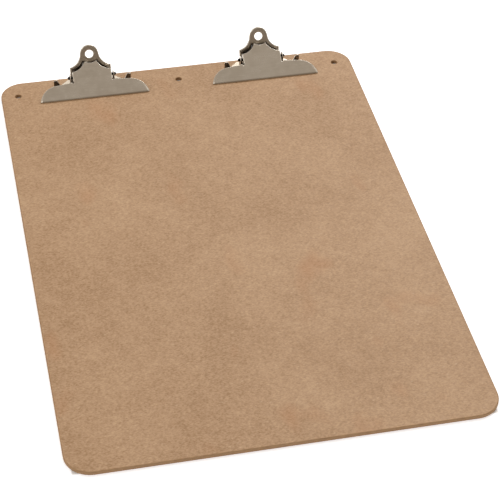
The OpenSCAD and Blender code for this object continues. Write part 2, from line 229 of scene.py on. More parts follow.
def folded(run: Array, lift: Array, radius: float | Array, turn: float) -> tuple[Array, Array]:
    """Folds a sheet about a line, away from the side that lift points to.

    Past the line the sheet follows an arc of the given radius, measured at lift 0, until
    it has turned enough, and then runs straight on.

    Args:
        run: Distance past the fold line; the sheet is flat where it is negative.
        lift: Height out of the sheet's zero face.
        radius: The arc's radius at lift 0.
        turn: How far it turns, in radians.

    Returns:
        The new distance along the unfolded direction, and the new height.
    """
    angle = np.clip(run / radius, 0.0, turn)
    straight = np.clip(run - radius * turn, 0.0, None)
    along = (radius + lift) * np.sin(angle) + straight * np.cos(angle)
    height = (radius + lift) * np.cos(angle) - radius - straight * np.sin(angle)
    return np.where(run < 0.0, run, along), np.where(run < 0.0, lift, height)


# ---------------------------------------------------------------- surfaces


@dataclass
class Skin:
    """Patches of one closed surface, each point as x, y, height and an edge weight."""

    points: list[Array] = field(default_factory=list)
    faces: list[Array] = field(default_factory=list)
    count: int = 0

    def patch(self, points: Array, faces: Array) -> None:
        """Adds a patch.

        Args:
            points: A (points, 4) array of x, y, height and edge weight.
            faces: An array of faces, each a row of indices into the points.
        """
        self.points.append(points)
        self.faces.append(faces + self.count)
        self.count += len(points)

    def grid(self, rows: Array, edge: float = 0.0) -> None:
        """Adds the quads between neighbouring rows of points, each row closed on itself.

        The edge weight is 0 on the first and last rows, which weld to plain faces.

        Args:
            rows: A (rows, points, 3) array.
            edge: The edge weight of the rows between.
        """
        height, width = rows.shape[:2]
        index = np.arange(height * width).reshape(height, width)
        index = np.concatenate([index, index[:, :1]], axis=1)
        quads = np.stack([index[:-1, :-1], index[1:, :-1], index[1:, 1:], index[:-1, 1:]], axis=-1)
        weight = np.full((height, width), edge)
        weight[[0, -1]] = 0.0
        self.patch(np.column_stack([rows.reshape(-1, 3), weight.ravel()]), quads.reshape(-1, 4))

    def rim(self, loop: Array, profile: Array, edge: float = 1.0) -> None:
        """Carries an edge profile round a loop.

        Each point is the loop's point moved inwards by the profile's inset, at the
        profile's height.

        Args:
            loop: A (points, 2) outline.
            profile: A (rows, 2) array of inset and height.
            edge: The edge weight of the rim.
        """
        place = loop[None] + profile[:, None, :1] * inward(loop)[None]
        height = np.broadcast_to(profile[:, 1:, None], place.shape[:2] + (1,))
        self.grid(np.concatenate([place, height], axis=2), edge)

    def face(self, loops: list[Array], height: float, seeds: Array | None = None,
             gap: float = 0.2) -> None:
        """Fills the flat area between an outline and its holes with triangles.

        Args:
            loops: The outline, then its holes.
            height: The height of the whole face.
            seeds: Extra points inside, where the sheet is to be folded.
            gap: How close to a loop a seed may lie.
        """
        points = np.concatenate(loops)
        starts = np.cumsum([0] + [len(loop) for loop in loops])
        edges = np.concatenate([
            np.stack([np.arange(a, b), np.roll(np.arange(a, b), -1)], axis=1)
            for a, b in zip(starts[:-1], starts[1:])])
        if seeds is not None:
            inner = seeds[within(seeds, loops)]
            apart = np.linalg.norm(inner[:, None] - points[None], axis=2).min(axis=1)
            points = np.concatenate([points, inner[apart > gap]])
        flat, _, triangles, *_ = delaunay_2d_cdt(
            [Vector(p) for p in points.tolist()], edges.tolist(), [], 1, 1e-7, False)
        flat = np.array([tuple(v) for v in flat])
        triangles = np.array(triangles)
        triangles = triangles[within(flat[triangles].mean(axis=1), loops)]
        plain = np.zeros(len(flat))
        self.patch(np.column_stack([flat, plain + height, plain]), triangles)

    def shaped(self, form: Form) -> "Skin":
        """Moves every point.

        Args:
            form: Gives the new x, y and height for the old ones.

        Returns:
            The skin itself.
        """
        for number, points in enumerate(self.points):
            x, y, z = form(points[:, 0], points[:, 1], points[:, 2])
            self.points[number] = np.column_stack([x, y, z, points[:, 3]])
        return self

    def joined(self, other: "Skin") -> "Skin":
        """Takes another skin's patches in.

        Args:
            other: A skin in the same frame.

        Returns:
            The skin itself.
        """
        self.points.extend(other.points)
        self.faces.extend(faces + self.count for faces in other.faces)
        self.count += other.count
        return self

    def piece(self, name: str, origin: Vector) -> bpy.types.Object:
        """Makes the mesh: patches welded where they meet, faces outwards, smooth.

        Args:
            name: The piece's name.
            origin: Where the skin's zero lies, in metres.

        Returns:
            The new object, at the origin of the part's frame.
        """
        points = np.concatenate(self.points)
        mesh = bpy.data.meshes.new(name)
        faces = [face for patch in self.faces for face in patch.tolist()]
        mesh.from_pydata((points[:, :3] * MM + np.array(origin)).tolist(), [], faces)
        weight = mesh.attributes.new(EDGE, "FLOAT", "POINT")
        weight.data.foreach_set("value", points[:, 3].astype(np.float32))
        work = bmesh.new()
        work.from_mesh(mesh)
        bmesh.ops.remove_doubles(work, verts=work.verts, dist=WELD * MM)
        bmesh.ops.recalc_face_normals(work, faces=work.faces)
        work.to_mesh(mesh)
        work.free()
        mesh.shade_smooth()
        made = bpy.data.objects.new(name, mesh)
        bpy.context.scene.collection.objects.link(made)
        return made


def round_edge(thickness: float, radius: float, band: float = BAND, steps: int = 4) -> Array:
    """Section of a sheet's rounded edge, as inset and height.

    A flat band, a quarter circle, the upright side, a quarter circle and a flat band.

    Args:
        thickness: Of the sheet, from height 0 down.
        radius: Of both rounds.
        band: Width of the flat bands.
        steps: Segments in each quarter circle.

    Returns:
        A (rows, 2) array from the top face to the bottom one.
    """
    angle = np.radians(np.linspace(90, 0, steps + 1))
    top = np.stack([radius * (1 - np.cos(angle)), radius * (np.sin(angle) - 1)], axis=1)
    bottom = np.stack([top[::-1, 0], -thickness - top[::-1, 1]], axis=1)
    ends = np.array([[radius + band, 0.0]]), np.array([[radius + band, -thickness]])
    return np.concatenate([ends[0], top, bottom, ends[1]])


def lattice(xs: Array, ys: Array) -> Array:
    """Every pair of an x and a y, as (count, 2) points."""
    grid_x, grid_y = np.meshgrid(xs, ys)
    return np.stack([grid_x.ravel(), grid_y.ravel()], axis=1)


def blank(outline: Array, holes: list[Array], thickness: float, radius: float,
          seeds: Array | None = None) -> Skin:
    """Makes a flat sheet with rounded edges, its top face at height 0.

    Args:
        outline: The sheet's anticlockwise outline.
        holes: Clockwise loops.
        thickness: Of the sheet.
        radius: Of its edges' rounds.
        seeds: Extra points inside, where the sheet is to be folded.

    Returns:
        The sheet's skin.
    """
    skin = Skin()
    profile = round_edge(thickness, radius)
    inset = profile[0, 0]
    loops = [outline, *holes]
    for loop in loops:
        skin.rim(loop, profile)
    inner = [loop + inset * inward(loop) for loop in loops]
    skin.face(inner, 0.0, seeds)
    skin.face(inner, -thickness, seeds)
    return skin


def turned(profile: Array, sides: int = 64) -> Array:
    """Carries each (radius, height) of a profile round the axis of height.

    Args:
        profile: A (rows, 2) array.
        sides: Points in each ring.

    Returns:
        A (rows, sides, 3) array.
    """
    angle = np.linspace(0, 2 * math.pi, sides, endpoint=False)
    radius, height = profile[:, :1], profile[:, 1:]
    return np.stack([radius * np.cos(angle), radius * np.sin(angle),
                     np.broadcast_to(height, (len(profile), sides))], axis=2)


def tube_rows(path: Array, radius: Array, sides: int = 16) -> Array:
    """Rings square to a path, for a wire that never runs along X.

    At each point the ring's two axes are the path's direction crossed with X, and the
    direction crossed with that.

    Args:
        path: A (points, 3) array.
        radius: The wire's radius at each point.
        sides: Points in each ring.

    Returns:
        A (points, sides, 3) array.
    """
    along = np.gradient(path, axis=0)
    along /= np.linalg.norm(along, axis=1, keepdims=True)
    first = np.cross(along, (1.0, 0.0, 0.0))
    first /= np.linalg.norm(first, axis=1, keepdims=True)
    second = np.cross(along, first)
    angle = np.linspace(0, 2 * math.pi, sides, endpoint=False)[None, :, None]
    ring = np.cos(angle) * first[:, None] + np.sin(angle) * second[:, None]
    return path[:, None] + radius[:, None, None] * ring


def closed_ends(skin: Skin, shape: tuple[int, ...], last: bool = True) -> Skin:
    """Closes the small holes at the ends of the skin's one tube of rings with fans.

    Args:
        skin: A skin of one grid.
        shape: The grid's shape.
        last: Whether the last ring is closed too.

    Returns:
        The skin itself.
    """
    rows, sides = shape[:2]
    for row in (0, rows - 1) if last else (0,):
        ring = np.arange(sides) + row * sides
        centre = skin.points[0][ring].mean(axis=0, keepdims=True)
        points = np.concatenate([skin.points[0][ring], centre])
        index = np.arange(sides)
        skin.patch(points, np.stack([index, np.roll(index, -1), np.full(sides, sides)], axis=1))
    return skin


# ---------------------------------------------------------------- finishes


def linear(colour: str) -> tuple[float, float, float, float]:
    """Turns an sRGB colour into a linear one.

    Args:
        colour: In hex, such as "#B89878".

    Returns:
        Red, green, blue and a full alpha.
    """
    channels = [int(colour[k:k + 2], 16) / 255 for k in (1, 3, 5)]
    spread = [c / 12.92 if c <= 0.04045 else ((c + 0.055) / 1.055) ** 2.4 for c in channels]
    return (*spread, 1.0)


def per_metre(size_mm: float) -> float:
    """Scale of a texture on Object coordinates whose features are size_mm apart."""
    return 1.0 / (size_mm * MM)


def add(tree: Tree, kind: str, *values: Any, stops: tuple[tuple[float, str], ...] = (),
        **named: Any) -> Socket | None:
    """Adds one node with its settings and links.

    Args:
        tree: The node tree.
        kind: The node's type, without the ShaderNode in front. After a space it may give
            a Math node's operation or a Mix node's data type.
        values: For each input in use, in order, a value or the output to link to it. None
            leaves an input as it is.
        stops: A colour ramp's places and sRGB hex colours.
        named: Capitalised, an input's value or link; otherwise one of the node's settings.

    Returns:
        The node's first output in use, if it has one.
    """
    kind, _, way = kind.partition(" ")
    node = tree.nodes.new("ShaderNode" + kind)
    if way:
        setattr(node, "operation" if kind == "Math" else "data_type", way)
    for key in [key for key in named if key[0].islower()]:
        setattr(node, key, named.pop(key))
    if stops:
        ramp = node.color_ramp.elements
        ramp.remove(ramp[1])
        ramp[0].position, ramp[0].color = stops[0][0], linear(stops[0][1])
        for place, colour in stops[1:]:
            ramp.new(place).color = linear(colour)
    given = [*zip([slot for slot in node.inputs if slot.enabled], values),
             *((node.inputs[key], value) for key, value in named.items())]
    for slot, value in given:
        if isinstance(value, Socket):
            tree.links.new(value, slot)
        elif value is not None:
            slot.default_value = value
    return next((slot for slot in node.outputs if slot.enabled), None)


@dataclass(frozen=True)
class Mottle:
    """A pattern of noise whose features have a real size, stretched and turned about Z.

    The noise between low and high is spread from 0 to 1, and stays there beyond them.
    """

    size_mm: float
    low: float = 0.35
    high: float = 0.65
    detail: float = 3.0
    rough: float = 0.55
    stretch: tuple[float, float, float] = (1, 1, 1)
    turn: float = 0.0

    def plain(self, tree: Tree, place: Socket) -> Socket:
        """The noise as it is, on Object coordinates."""
        mapped = add(tree, "Mapping", place, None, (0, 0, math.radians(self.turn)),
                     [1 / stretch for stretch in self.stretch])
        return add(tree, "TexNoise", mapped, Scale=per_metre(self.size_mm), Detail=self.detail,
                   Roughness=self.rough)

    def spread(self, tree: Tree, place: Socket, start: float = 0.0, end: float = 1.0) -> Socket:
        """The noise spread from start to end."""
        return add(tree, "MapRange", self.plain(tree, place), self.low, self.high, start, end)


class Finish:
    """A material made once and shared by every piece that wears it."""

    name = "finish"

    def dress(self, piece: bpy.types.Object) -> None:
        """Puts this finish on a piece, in place of what it has.

        Args:
            piece: The mesh object to dress.
        """
        made = bpy.data.materials.get(self.name) or self.build()
        piece.data.materials.clear()
        piece.data.materials.append(made)

    def build(self) -> bpy.types.Material:
        """Makes the material and its shader, and lets paint() add the pattern.

        Returns:
            The new material.
        """
        made = bpy.data.materials.new(self.name)
        made.use_nodes = True
        tree = made.node_tree
        tree.nodes.clear()
        shader = add(tree, "BsdfPrincipled").node
        add(tree, "OutputMaterial", shader.outputs["BSDF"])
        place = add(tree, "TexCoord").node.outputs["Object"]
        edge = add(tree, "Attribute", attribute_name=EDGE).node.outputs["Fac"]
        for name, value in self.paint(tree, place, edge).items():
            if isinstance(value, Socket):
                tree.links.new(value, shader.inputs[name])
            else:
                shader.inputs[name].default_value = value
        return made

    def paint(self, tree: Tree, place: Socket, edge: Socket) -> dict[str, Any]:
        """Adds the pattern nodes; each finish has its own.

        Args:
            tree: The material's node tree.
            place: The Object coordinates.
            edge: The edge weight: 1 on a sheet's edges and 0 on its faces.

        Returns:
            A value or a link for each of the shader's inputs that the finish sets.
        """
        raise NotImplementedError


@dataclass(frozen=True)
class Hardboard(Finish):
    """Standard hardboard: steamed wood fibres pressed flat between hot plates.

    The press gives a closed, faintly glossy face whose matted fibres show as a fine
    mottle, with dark bark specks and a few resin stains. The back carries the weave of the
    screen that the wet fibres lay on, with painted shade in its hollows, and the sawn edges
    are darker and drier.
    """

    name: str = "pressed_hardboard"
    tan: str = "#AA8765"
    pale: str = "#BB9A77"
    deep: str = "#93704A"
    bark: str = "#5E3B22"
    resin: str = "#A56B3A"
    straw: str = "#DCC3A6"
    sawn: str = "#A98763"
    char: str = "#6B4A2E"
    # A real fibre is 0.03 mm wide, and is drawn some 30 times as coarse so that it shows.
    fibres: tuple[Mottle, ...] = (
        Mottle(0.9, 0.34, 0.66, rough=0.6, stretch=(2.2, 1, 1), turn=24),
        Mottle(0.8, 0.34, 0.66, rough=0.6, stretch=(2.4, 1, 1), turn=-58),
        Mottle(1.0, 0.34, 0.66, rough=0.6, stretch=(2.0, 1, 1), turn=97))
    # Grit is bundles of fibres, a clump is a knot of pulp, and a cloud is uneven pressing.
    grit: Mottle = Mottle(2.4, 0.34, 0.66, detail=4, rough=0.7)
    clump: Mottle = Mottle(9, 0.33, 0.67, detail=4, rough=0.62)
    cloud: Mottle = Mottle(95, 0.36, 0.64, rough=0.6)
    stain: Mottle = Mottle(46, 0.62, 0.76, detail=2, rough=0.5, stretch=(1, 1.6, 1), turn=20)
    layers: Mottle = Mottle(0.35, 0.38, 0.62, rough=0.6, stretch=(14, 14, 1))
    speck_mm: float = 4.2
    fleck_mm: float = 3.1
    # Thread spacing of the screen.
    screen_mm: float = 1.4
    # How strongly each pattern shows, from 0 to 1.
    matted_share: float = 0.44
    grit_share: float = 0.34
    clump_share: float = 0.16
    cloud_share: float = 0.20
    stain_share: float = 0.34
    speck_share: float = 0.75
    fleck_share: float = 0.3
    weave_shade_share: float = 0.35
    sawn_share: float = 0.85
    # Roughness of the pressed face, and what a sawn edge adds to it.
    smooth: float = 0.50
    matt: float = 0.64
    dry: float = 0.25
    relief_mm: float = 0.06

    def paint(self, tree: Tree, place: Socket, edge: Socket) -> dict[str, Any]:
        """Lays the face's tones and flecks, then the sawn edges and the back's weave.

        Args:
            tree: The material's node tree.
            place: The Object coordinates.
            edge: The edge weight.

        Returns:
            A value or a link for each of the shader's inputs that it sets.
        """
        one, two, three = (fibre.spread(tree, place) for fibre in self.fibres)
        matted = add(tree, "Math ADD", add(tree, "Math ADD", one, two), three)
        matted = add(tree, "MapRange", add(tree, "Math DIVIDE", matted, 3.0), 0.26, 0.74)
        colour = self.flecked(tree, place, self.toned(tree, place, matted))
        layers = self.layers.spread(tree, place)
        sawn = add(tree, "Mix RGBA", layers, linear(self.sawn), linear(self.char))
        sawn = add(tree, "Mix RGBA", 0.55, sawn, linear(self.sawn))
        bare = add(tree, "Math MULTIPLY", edge, self.sawn_share)
        colour = add(tree, "Mix RGBA", bare, colour, sawn)
        back, weave = self.woven(tree, place)
        # Painted shade: the back is darkened towards the deep colour in the weave's hollows.
        hollow = add(tree, "Math MULTIPLY", add(tree, "Math SUBTRACT", back, weave),
                     self.weave_shade_share)
        ridges = add(tree, "Math MULTIPLY", add(tree, "Math MULTIPLY", layers, edge), 3.0)
        relief = add(tree, "Math MULTIPLY_ADD", weave, 3.0, add(tree, "Math ADD", matted, ridges))
        gloss = add(tree, "MapRange", matted, 0.0, 1.0, self.smooth, self.matt)
        return {
            "Base Color": add(tree, "Mix RGBA", hollow, colour, linear(self.deep)),
            "Roughness": add(tree, "Math ADD", gloss, add(tree, "Math MULTIPLY", edge, self.dry)),
            "Specular IOR Level": 0.35,
            "Normal": add(tree, "Bump", Height=relief, Strength=0.35, Distance=self.relief_mm * MM)}

    def toned(self, tree: Tree, place: Socket, matted: Socket) -> Socket:
        """The pulp's colour: the patterns, added by their shares, run from deep to pale.

        Args:
            tree: The material's node tree.
            place: The Object coordinates.
            matted: The three lays of fibres, averaged.

        Returns:
            The colour, with the resin stains over it.
        """
        grey = add(tree, "Math MULTIPLY_ADD", matted, self.matted_share, -0.07)
        for pattern, share in ((self.grit, self.grit_share), (self.clump, self.clump_share),
                               (self.cloud, self.cloud_share)):
            grey = add(tree, "Math MULTIPLY_ADD", pattern.spread(tree, place), share, grey)
        tone = add(tree, "ValToRGB", grey,
                   stops=((0.12, self.deep), (0.5, self.tan), (0.9, self.pale)))
        stain = self.stain.spread(tree, place, 0.0, self.stain_share)
        return add(tree, "Mix RGBA", stain, tone, linear(self.resin))

    def flecked(self, tree: Tree, place: Socket, colour: Socket) -> Socket:
        """Scatters dark bark specks, and pale slivers that lie aslant.

        Args:
            tree: The material's node tree.
            place: The Object coordinates.
            colour: The colour under them.

        Returns:
            The colour with both over it.
        """
        aslant = add(tree, "Mapping", place, None, (0, 0, 0.7), (0.4, 1, 1))
        specks = self.spots(tree, place, self.speck_mm, (0.10, 0.05), "Red", (0.80, 0.86))
        slivers = self.spots(tree, aslant, self.fleck_mm, (0.16, 0.06), "Green", (0.6, 0.7))
        for spots, share, hue in ((specks, self.speck_share, self.bark),
                                  (slivers, self.fleck_share, self.straw)):
            part = add(tree, "Math MULTIPLY", spots, share)
            colour = add(tree, "Mix RGBA", part, colour, linear(hue))
        return colour

    @staticmethod
    def spots(tree: Tree, place: Socket, size_mm: float, reach: tuple[float, float],
              channel: str, chance: tuple[float, float]) -> Socket:
        """The middles of a few cells of a Voronoi, picked by one channel of their random colour.

        Args:
            tree: The material's node tree.
            place: The coordinates to scatter them on.
            size_mm: The cells' spacing.
            reach: How far from its middle a spot fades out, and is full, in cells.
            channel: The channel that picks.
            chance: Its values at which no cell and every cell gets a spot.

        Returns:
            1 on a spot and 0 off it.
        """
        cells = add(tree, "TexVoronoi", place, Scale=per_metre(size_mm), Randomness=1.0).node
        drawn = add(tree, "SeparateColor", cells.outputs["Color"]).node.outputs[channel]
        return add(tree, "Math MULTIPLY", add(tree, "MapRange", cells.outputs["Distance"], *reach),
                   add(tree, "MapRange", drawn, *chance))

    def woven(self, tree: Tree, place: Socket) -> tuple[Socket, Socket]:
        """The screen's print: two crossed waves, on the lowest part of the board only.

        Args:
            tree: The material's node tree.
            place: The Object coordinates.

        Returns:
            Where the back is, and the weave on it.
        """
        height = add(tree, "SeparateXYZ", place).node.outputs["Z"]
        back = add(tree, "MapRange", height, 0.4 * MM, 0.1 * MM)
        # A wave texture's phase is 20 times the scaled place, and half a wave is one thread.
        across, along = (add(tree, "TexWave", place, Scale=per_metre(self.screen_mm) / 20 * math.pi,
                             Distortion=0.5, Detail=1.0, bands_direction=axis).node.outputs["Fac"]
                         for axis in ("X", "Y"))
        return back, add(tree, "Math MULTIPLY", add(tree, "Math MULTIPLY", across, along), back)


@dataclass(frozen=True)
class NickelPlate(Finish):
    """Bright nickel over cold-rolled steel, barrel plated after stamping.

    It mirrors softly in a warm grey. The rolled sheet shows through as fine straight lines,
    handling leaves short hair scratches, and the edges are painted brighter: partly rubbed
    wear, partly a painted highlight.
    """

    name: str = "barrel_plated_nickel"
    body: str = "#C6BBAC"
    shade: str = "#B3A797"
    # Goes into the hair scratches, and into the edges as rubbed wear and a painted highlight.
    bright: str = "#E6DFD4"
    roughness: float = 0.30
    # Real rolling lines are 0.05 mm apart and a hair scratch is finer: both are coarsened.
    rolled: Mottle = Mottle(0.5, rough=0.6, stretch=(40, 1, 1))
    cloudy: Mottle = Mottle(14)
    # Patches of the edges' rubbed wear and painted highlight.
    rub_and_sheen: Mottle = Mottle(3, 0.35, 0.6, detail=2)
    handled: Mottle = Mottle(7, 0.52, 0.6, detail=1)
    hair_mm: float = 0.8
    hair_stretch: float = 22
    hair_turns: tuple[float, float] = (31, -47)
    relief_mm: float = 0.01

    def paint(self, tree: Tree, place: Socket, edge: Socket) -> dict[str, Any]:
        """Mixes rolling lines, cloudy plating and hair scratches into colour and gloss.

        Args:
            tree: The material's node tree.
            place: The Object coordinates.
            edge: The edge weight.

        Returns:
            A value or a link for each of the shader's inputs that it sets.
        """
        rolled = self.rolled.spread(tree, place)
        cloudy = add(tree, "Math MULTIPLY", self.cloudy.spread(tree, place), 0.65)
        tone = add(tree, "Math MULTIPLY_ADD", rolled, 0.35, cloudy)
        # The edges are painted brighter: partly rubbed wear, partly a painted highlight.
        edge_wear_and_sheen = add(tree, "Math MULTIPLY", edge, self.rub_and_sheen.spread(tree, place, 0.35, 0.9))
        one, other = (self.hairs(tree, place, turn) for turn in self.hair_turns)
        scratch = add(tree, "Math ADD", one, other)
        colour = add(tree, "Mix RGBA", tone, linear(self.shade), linear(self.body))
        for bright in (edge_wear_and_sheen, add(tree, "Math MULTIPLY", scratch, 0.35)):
            colour = add(tree, "Mix RGBA", bright, colour, linear(self.bright))
        gloss = add(tree, "MapRange", tone, 0.0, 1.0, self.roughness + 0.06, self.roughness - 0.04)
        relief = add(tree, "Math SUBTRACT", add(tree, "Math MULTIPLY", rolled, 0.5), scratch)
        return {
            "Base Color": colour,
            "Metallic": 1.0,
            "Roughness": add(tree, "Math SUBTRACT", gloss, add(tree, "Math MULTIPLY", edge_wear_and_sheen, 0.08)),
            "Normal": add(tree, "Bump", Height=relief, Strength=0.22, Distance=self.relief_mm * MM)}

    def hairs(self, tree: Tree, place: Socket, turn: float) -> Socket:
        """Short hair scratches: the thin crests of a noise that is long one way.

        Args:
            tree: The material's node tree.
            place: The Object coordinates.
            turn: The way they run, in degrees about Z.

        Returns:
            1 on a scratch and 0 off it.
        """
        hair = Mottle(self.hair_mm, detail=1, rough=0.4, turn=turn,
                      stretch=(self.hair_stretch, 1, self.hair_stretch))
        crest = add(tree, "Math ABSOLUTE", add(tree, "Math SUBTRACT", hair.plain(tree, place), 0.5))
        thin = add(tree, "MapRange", crest, 0.012, 0.0)
        return add(tree, "Math MULTIPLY", thin, self.handled.spread(tree, place))


@dataclass(frozen=True)
class MusicWire(Finish):
    """Hard-drawn spring steel, oil tempered: dark grey, with a faint blue in the bend."""

    name: str = "oil_tempered_spring_wire"
    body: str = "#77726C"
    blue: str = "#5C6068"
    temper: Mottle = Mottle(4, detail=2)
    # The die's real lines are finer than 0.05 mm.
    drawn: Mottle = Mottle(0.3, detail=2)
    relief_mm: float = 0.01

    def paint(self, tree: Tree, place: Socket, edge: Socket) -> dict[str, Any]:
        """Blends a temper colour in patches and adds the die's drawn grain.

        Args:
            tree: The material's node tree.
            place: The Object coordinates.
            edge: The edge weight.

        Returns:
            A value or a link for each of the shader's inputs that it sets.
        """
        patch = self.temper.spread(tree, place)
        drawn = self.drawn.plain(tree, place)
        return {
            "Base Color": add(tree, "Mix RGBA", patch, linear(self.body), linear(self.blue)),
            "Metallic": 1.0,
            "Roughness": add(tree, "MapRange", drawn, 0.3, 0.7, 0.28, 0.44),
            "Normal": add(tree, "Bump", Height=drawn, Strength=0.2, Distance=self.relief_mm * MM)}


@dataclass(frozen=True)
class RivetSteel(Finish):
    """Zinc-flashed soft steel, cold headed: a dull silver with fine upsetting marks."""

    name: str = "zinc_flashed_rivet_steel"
    body: str = "#BDB8B0"
    dull: str = "#8E8982"
    # Lighter colour mixed in by the edge weight: partly rubbed wear, partly a painted sheen.
    rub_and_sheen: str = "#DDD9D2"
    flash: Mottle = Mottle(1.6, detail=4, rough=0.65)
    relief_mm: float = 0.02

    def paint(self, tree: Tree, place: Socket, edge: Socket) -> dict[str, Any]:
        """Mottles the flash and pits it slightly.

        Args:
            tree: The material's node tree.
            place: The Object coordinates.
            edge: The edge weight.

        Returns:
            A value or a link for each of the shader's inputs that it sets.
        """
        flash = self.flash.spread(tree, place)
        colour = add(tree, "Mix RGBA", flash, linear(self.dull), linear(self.body))
        # Lightened by the edge weight: partly rubbed wear, partly a painted sheen.
        edge_wear_and_sheen = add(tree, "Math MULTIPLY", edge, 0.4)
        return {
            "Base Color": add(tree, "Mix RGBA", edge_wear_and_sheen, colour, linear(self.rub_and_sheen)),
            "Metallic": 1.0,
            "Roughness": add(tree, "MapRange", flash, 0.0, 1.0, 0.46, 0.3),
            "Normal": add(tree, "Bump", Height=flash, Strength=0.25, Distance=self.relief_mm * MM)}


@dataclass(frozen=True)
class PaperSweep(Finish):
    """Matt white background paper that glows as painted light outside the board's oblong, which
    lifts the shadows on the ground.
    """

    name: str = "white_paper_sweep"
    white: str = "#FAFAFA"
    tooth: Mottle = Mottle(2, 0.3, 0.7, detail=2)
    painted_glow: float = 0.45
    # Half the width and length, in mm, of the oblong that the board shades, which gets no painted
    # glow.
    shaded: tuple[float, float] = (155.0, 232.0)

    def paint(self, tree: Tree, place: Socket, edge: Socket) -> dict[str, Any]:
        """A trace of tooth in an even white, with a painted glow where the board doesn't shade it.

        Args:
            tree: The material's node tree.
            place: The Object coordinates.
            edge: The edge weight.

        Returns:
            A value or a link for each of the shader's inputs that it sets.
        """
        tooth = self.tooth.spread(tree, place)
        parts = add(tree, "SeparateXYZ", place).node.outputs
        # Painted light: the paper glows everywhere outside the board's oblong, filling in shadows.
        outside = [add(tree, "MapRange", add(tree, "Math ABSOLUTE", part),
                       (half - 1) * MM, half * MM) for part, half in zip(parts, self.shaded)]
        painted_glow_strength = add(tree, "Math MULTIPLY", add(tree, "Math MAXIMUM", *outside), self.painted_glow)
        return {
            "Base Color": add(tree, "Mix RGBA", tooth, linear(self.white), linear("#FFFFFF")),
            "Roughness": 0.9,
            "Specular IOR Level": 0.1,
            "Emission Color": linear("#F6F8FF"),
            "Emission Strength": painted_glow_strength}


# ---------------------------------------------------------------- the board


@dataclass
class Board:
    """The hardboard panel: rounded corners, eased edges, punched and drilled holes."""

    corner_r: float = 20.0
    # The sanded edge: the radius of its arrises, and the band that they soften.
    arris_r: float = 0.6
    arris_band: float = 0.4
    # The punched holes, and the same two sizes of their lips.
    hole_r: float = 2.75
    hole_top: float = 19.7
    hole_side: float = 15.0
    lip_r: float = 0.35
    lip_band: float = 0.3
    # The rivets' drilled holes and their pockets in the back, with their broken edges.
    rivet_r: float = 1.73
    mouth: float = 0.2
    pocket_r: float = 3.33
    pocket_depth: float = 0.9
    pocket_edge: tuple[float, float] = (0.15, 0.02)
    rivet_places: list[tuple[float, float]] = field(default_factory=list)
    # Points inside the faces: how far out they go along X and Y, and their spacing.
    seed_reach: tuple[float, float] = (150.0, 225.0)
    seed_step: float = 15.0
    seed_gap: float = 3.0
    finish: Finish = Hardboard()

    def __post_init__(self) -> None:
        """Takes the panel's width, length and thickness from the frame."""
        low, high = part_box("board")
        self.width, self.length, self.thickness = ((high - low) / MM)[:]

    def outline(self) -> Array:
        """A rectangle whose four corners are quarter circles.

        Returns:
            The closed outline.
        """
        x, y, r = self.width / 2 - self.corner_r, self.length / 2 - self.corner_r, self.corner_r
        corners = [((x, -y), -90), ((x, y), 0), ((-x, y), 90), ((-x, -y), 180)]
        return resampled(np.concatenate([arc(c, r, a, a + 90, 33) for c, a in corners]), 2.0)

    def build(self) -> bpy.types.Object:
        """Makes the panel, with its top face at the writing face's height.

        Returns:
            The new object.
        """
        skin = Skin()
        outline = self.outline()
        edge = round_edge(self.thickness, self.arris_r, self.arris_band)
        lip = round_edge(self.thickness, self.lip_r, self.lip_band)
        skin.rim(outline, edge)
        top = [self.moved(outline, edge[0, 0])]
        for side in (-1, 0, 1):
            centre = side * (self.width / 2 - self.hole_side), self.length / 2 - self.hole_top
            hole = circle_hole(centre, self.hole_r, 64)
            skin.rim(hole, lip)
            top.append(self.moved(hole, lip[0, 0]))
        bottom = list(top)
        floor = self.pocket_depth - self.thickness
        ease_w, ease_h = self.pocket_edge
        wall = np.array([[self.mouth, 0.0], [0.0, -self.mouth / 2], [0.0, floor]])
        shelf = np.array([[0.0, floor], [0.0, ease_h - self.thickness], [ease_w, -self.thickness]])
        for place in self.rivet_places:
            bore, pocket = (circle_hole(place, r, 48) for r in (self.rivet_r, self.pocket_r))
            skin.rim(bore, wall)
            skin.face([pocket[::-1], bore], floor)
            skin.rim(pocket, shelf)
            top.append(self.moved(bore, self.mouth))
            bottom.append(self.moved(pocket, ease_w))
        spread = lattice(*(np.arange(-reach, reach + 1.0, self.seed_step)
                           for reach in self.seed_reach))
        skin.face(top, 0.0, spread, self.seed_gap)
        skin.face(bottom, -self.thickness, spread, self.seed_gap)
        piece = skin.piece("hardboard_panel", Vector((0, 0, self.thickness * MM)))
        self.finish.dress(piece)
        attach(piece, "root")
        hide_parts("board")
        return piece

    @staticmethod
    def moved(loop: Array, inset: float) -> Array:
        """The loop moved into the material by an inset."""
        return loop + inset * inward(loop)


# ---------------------------------------------------------------- the clips


@dataclass
class Sheet:
    """The strip steel that both stampings of a clip are made of."""

    thickness: float = 0.8
    edge_r: float = 0.22
    finish: Finish = NickelPlate()


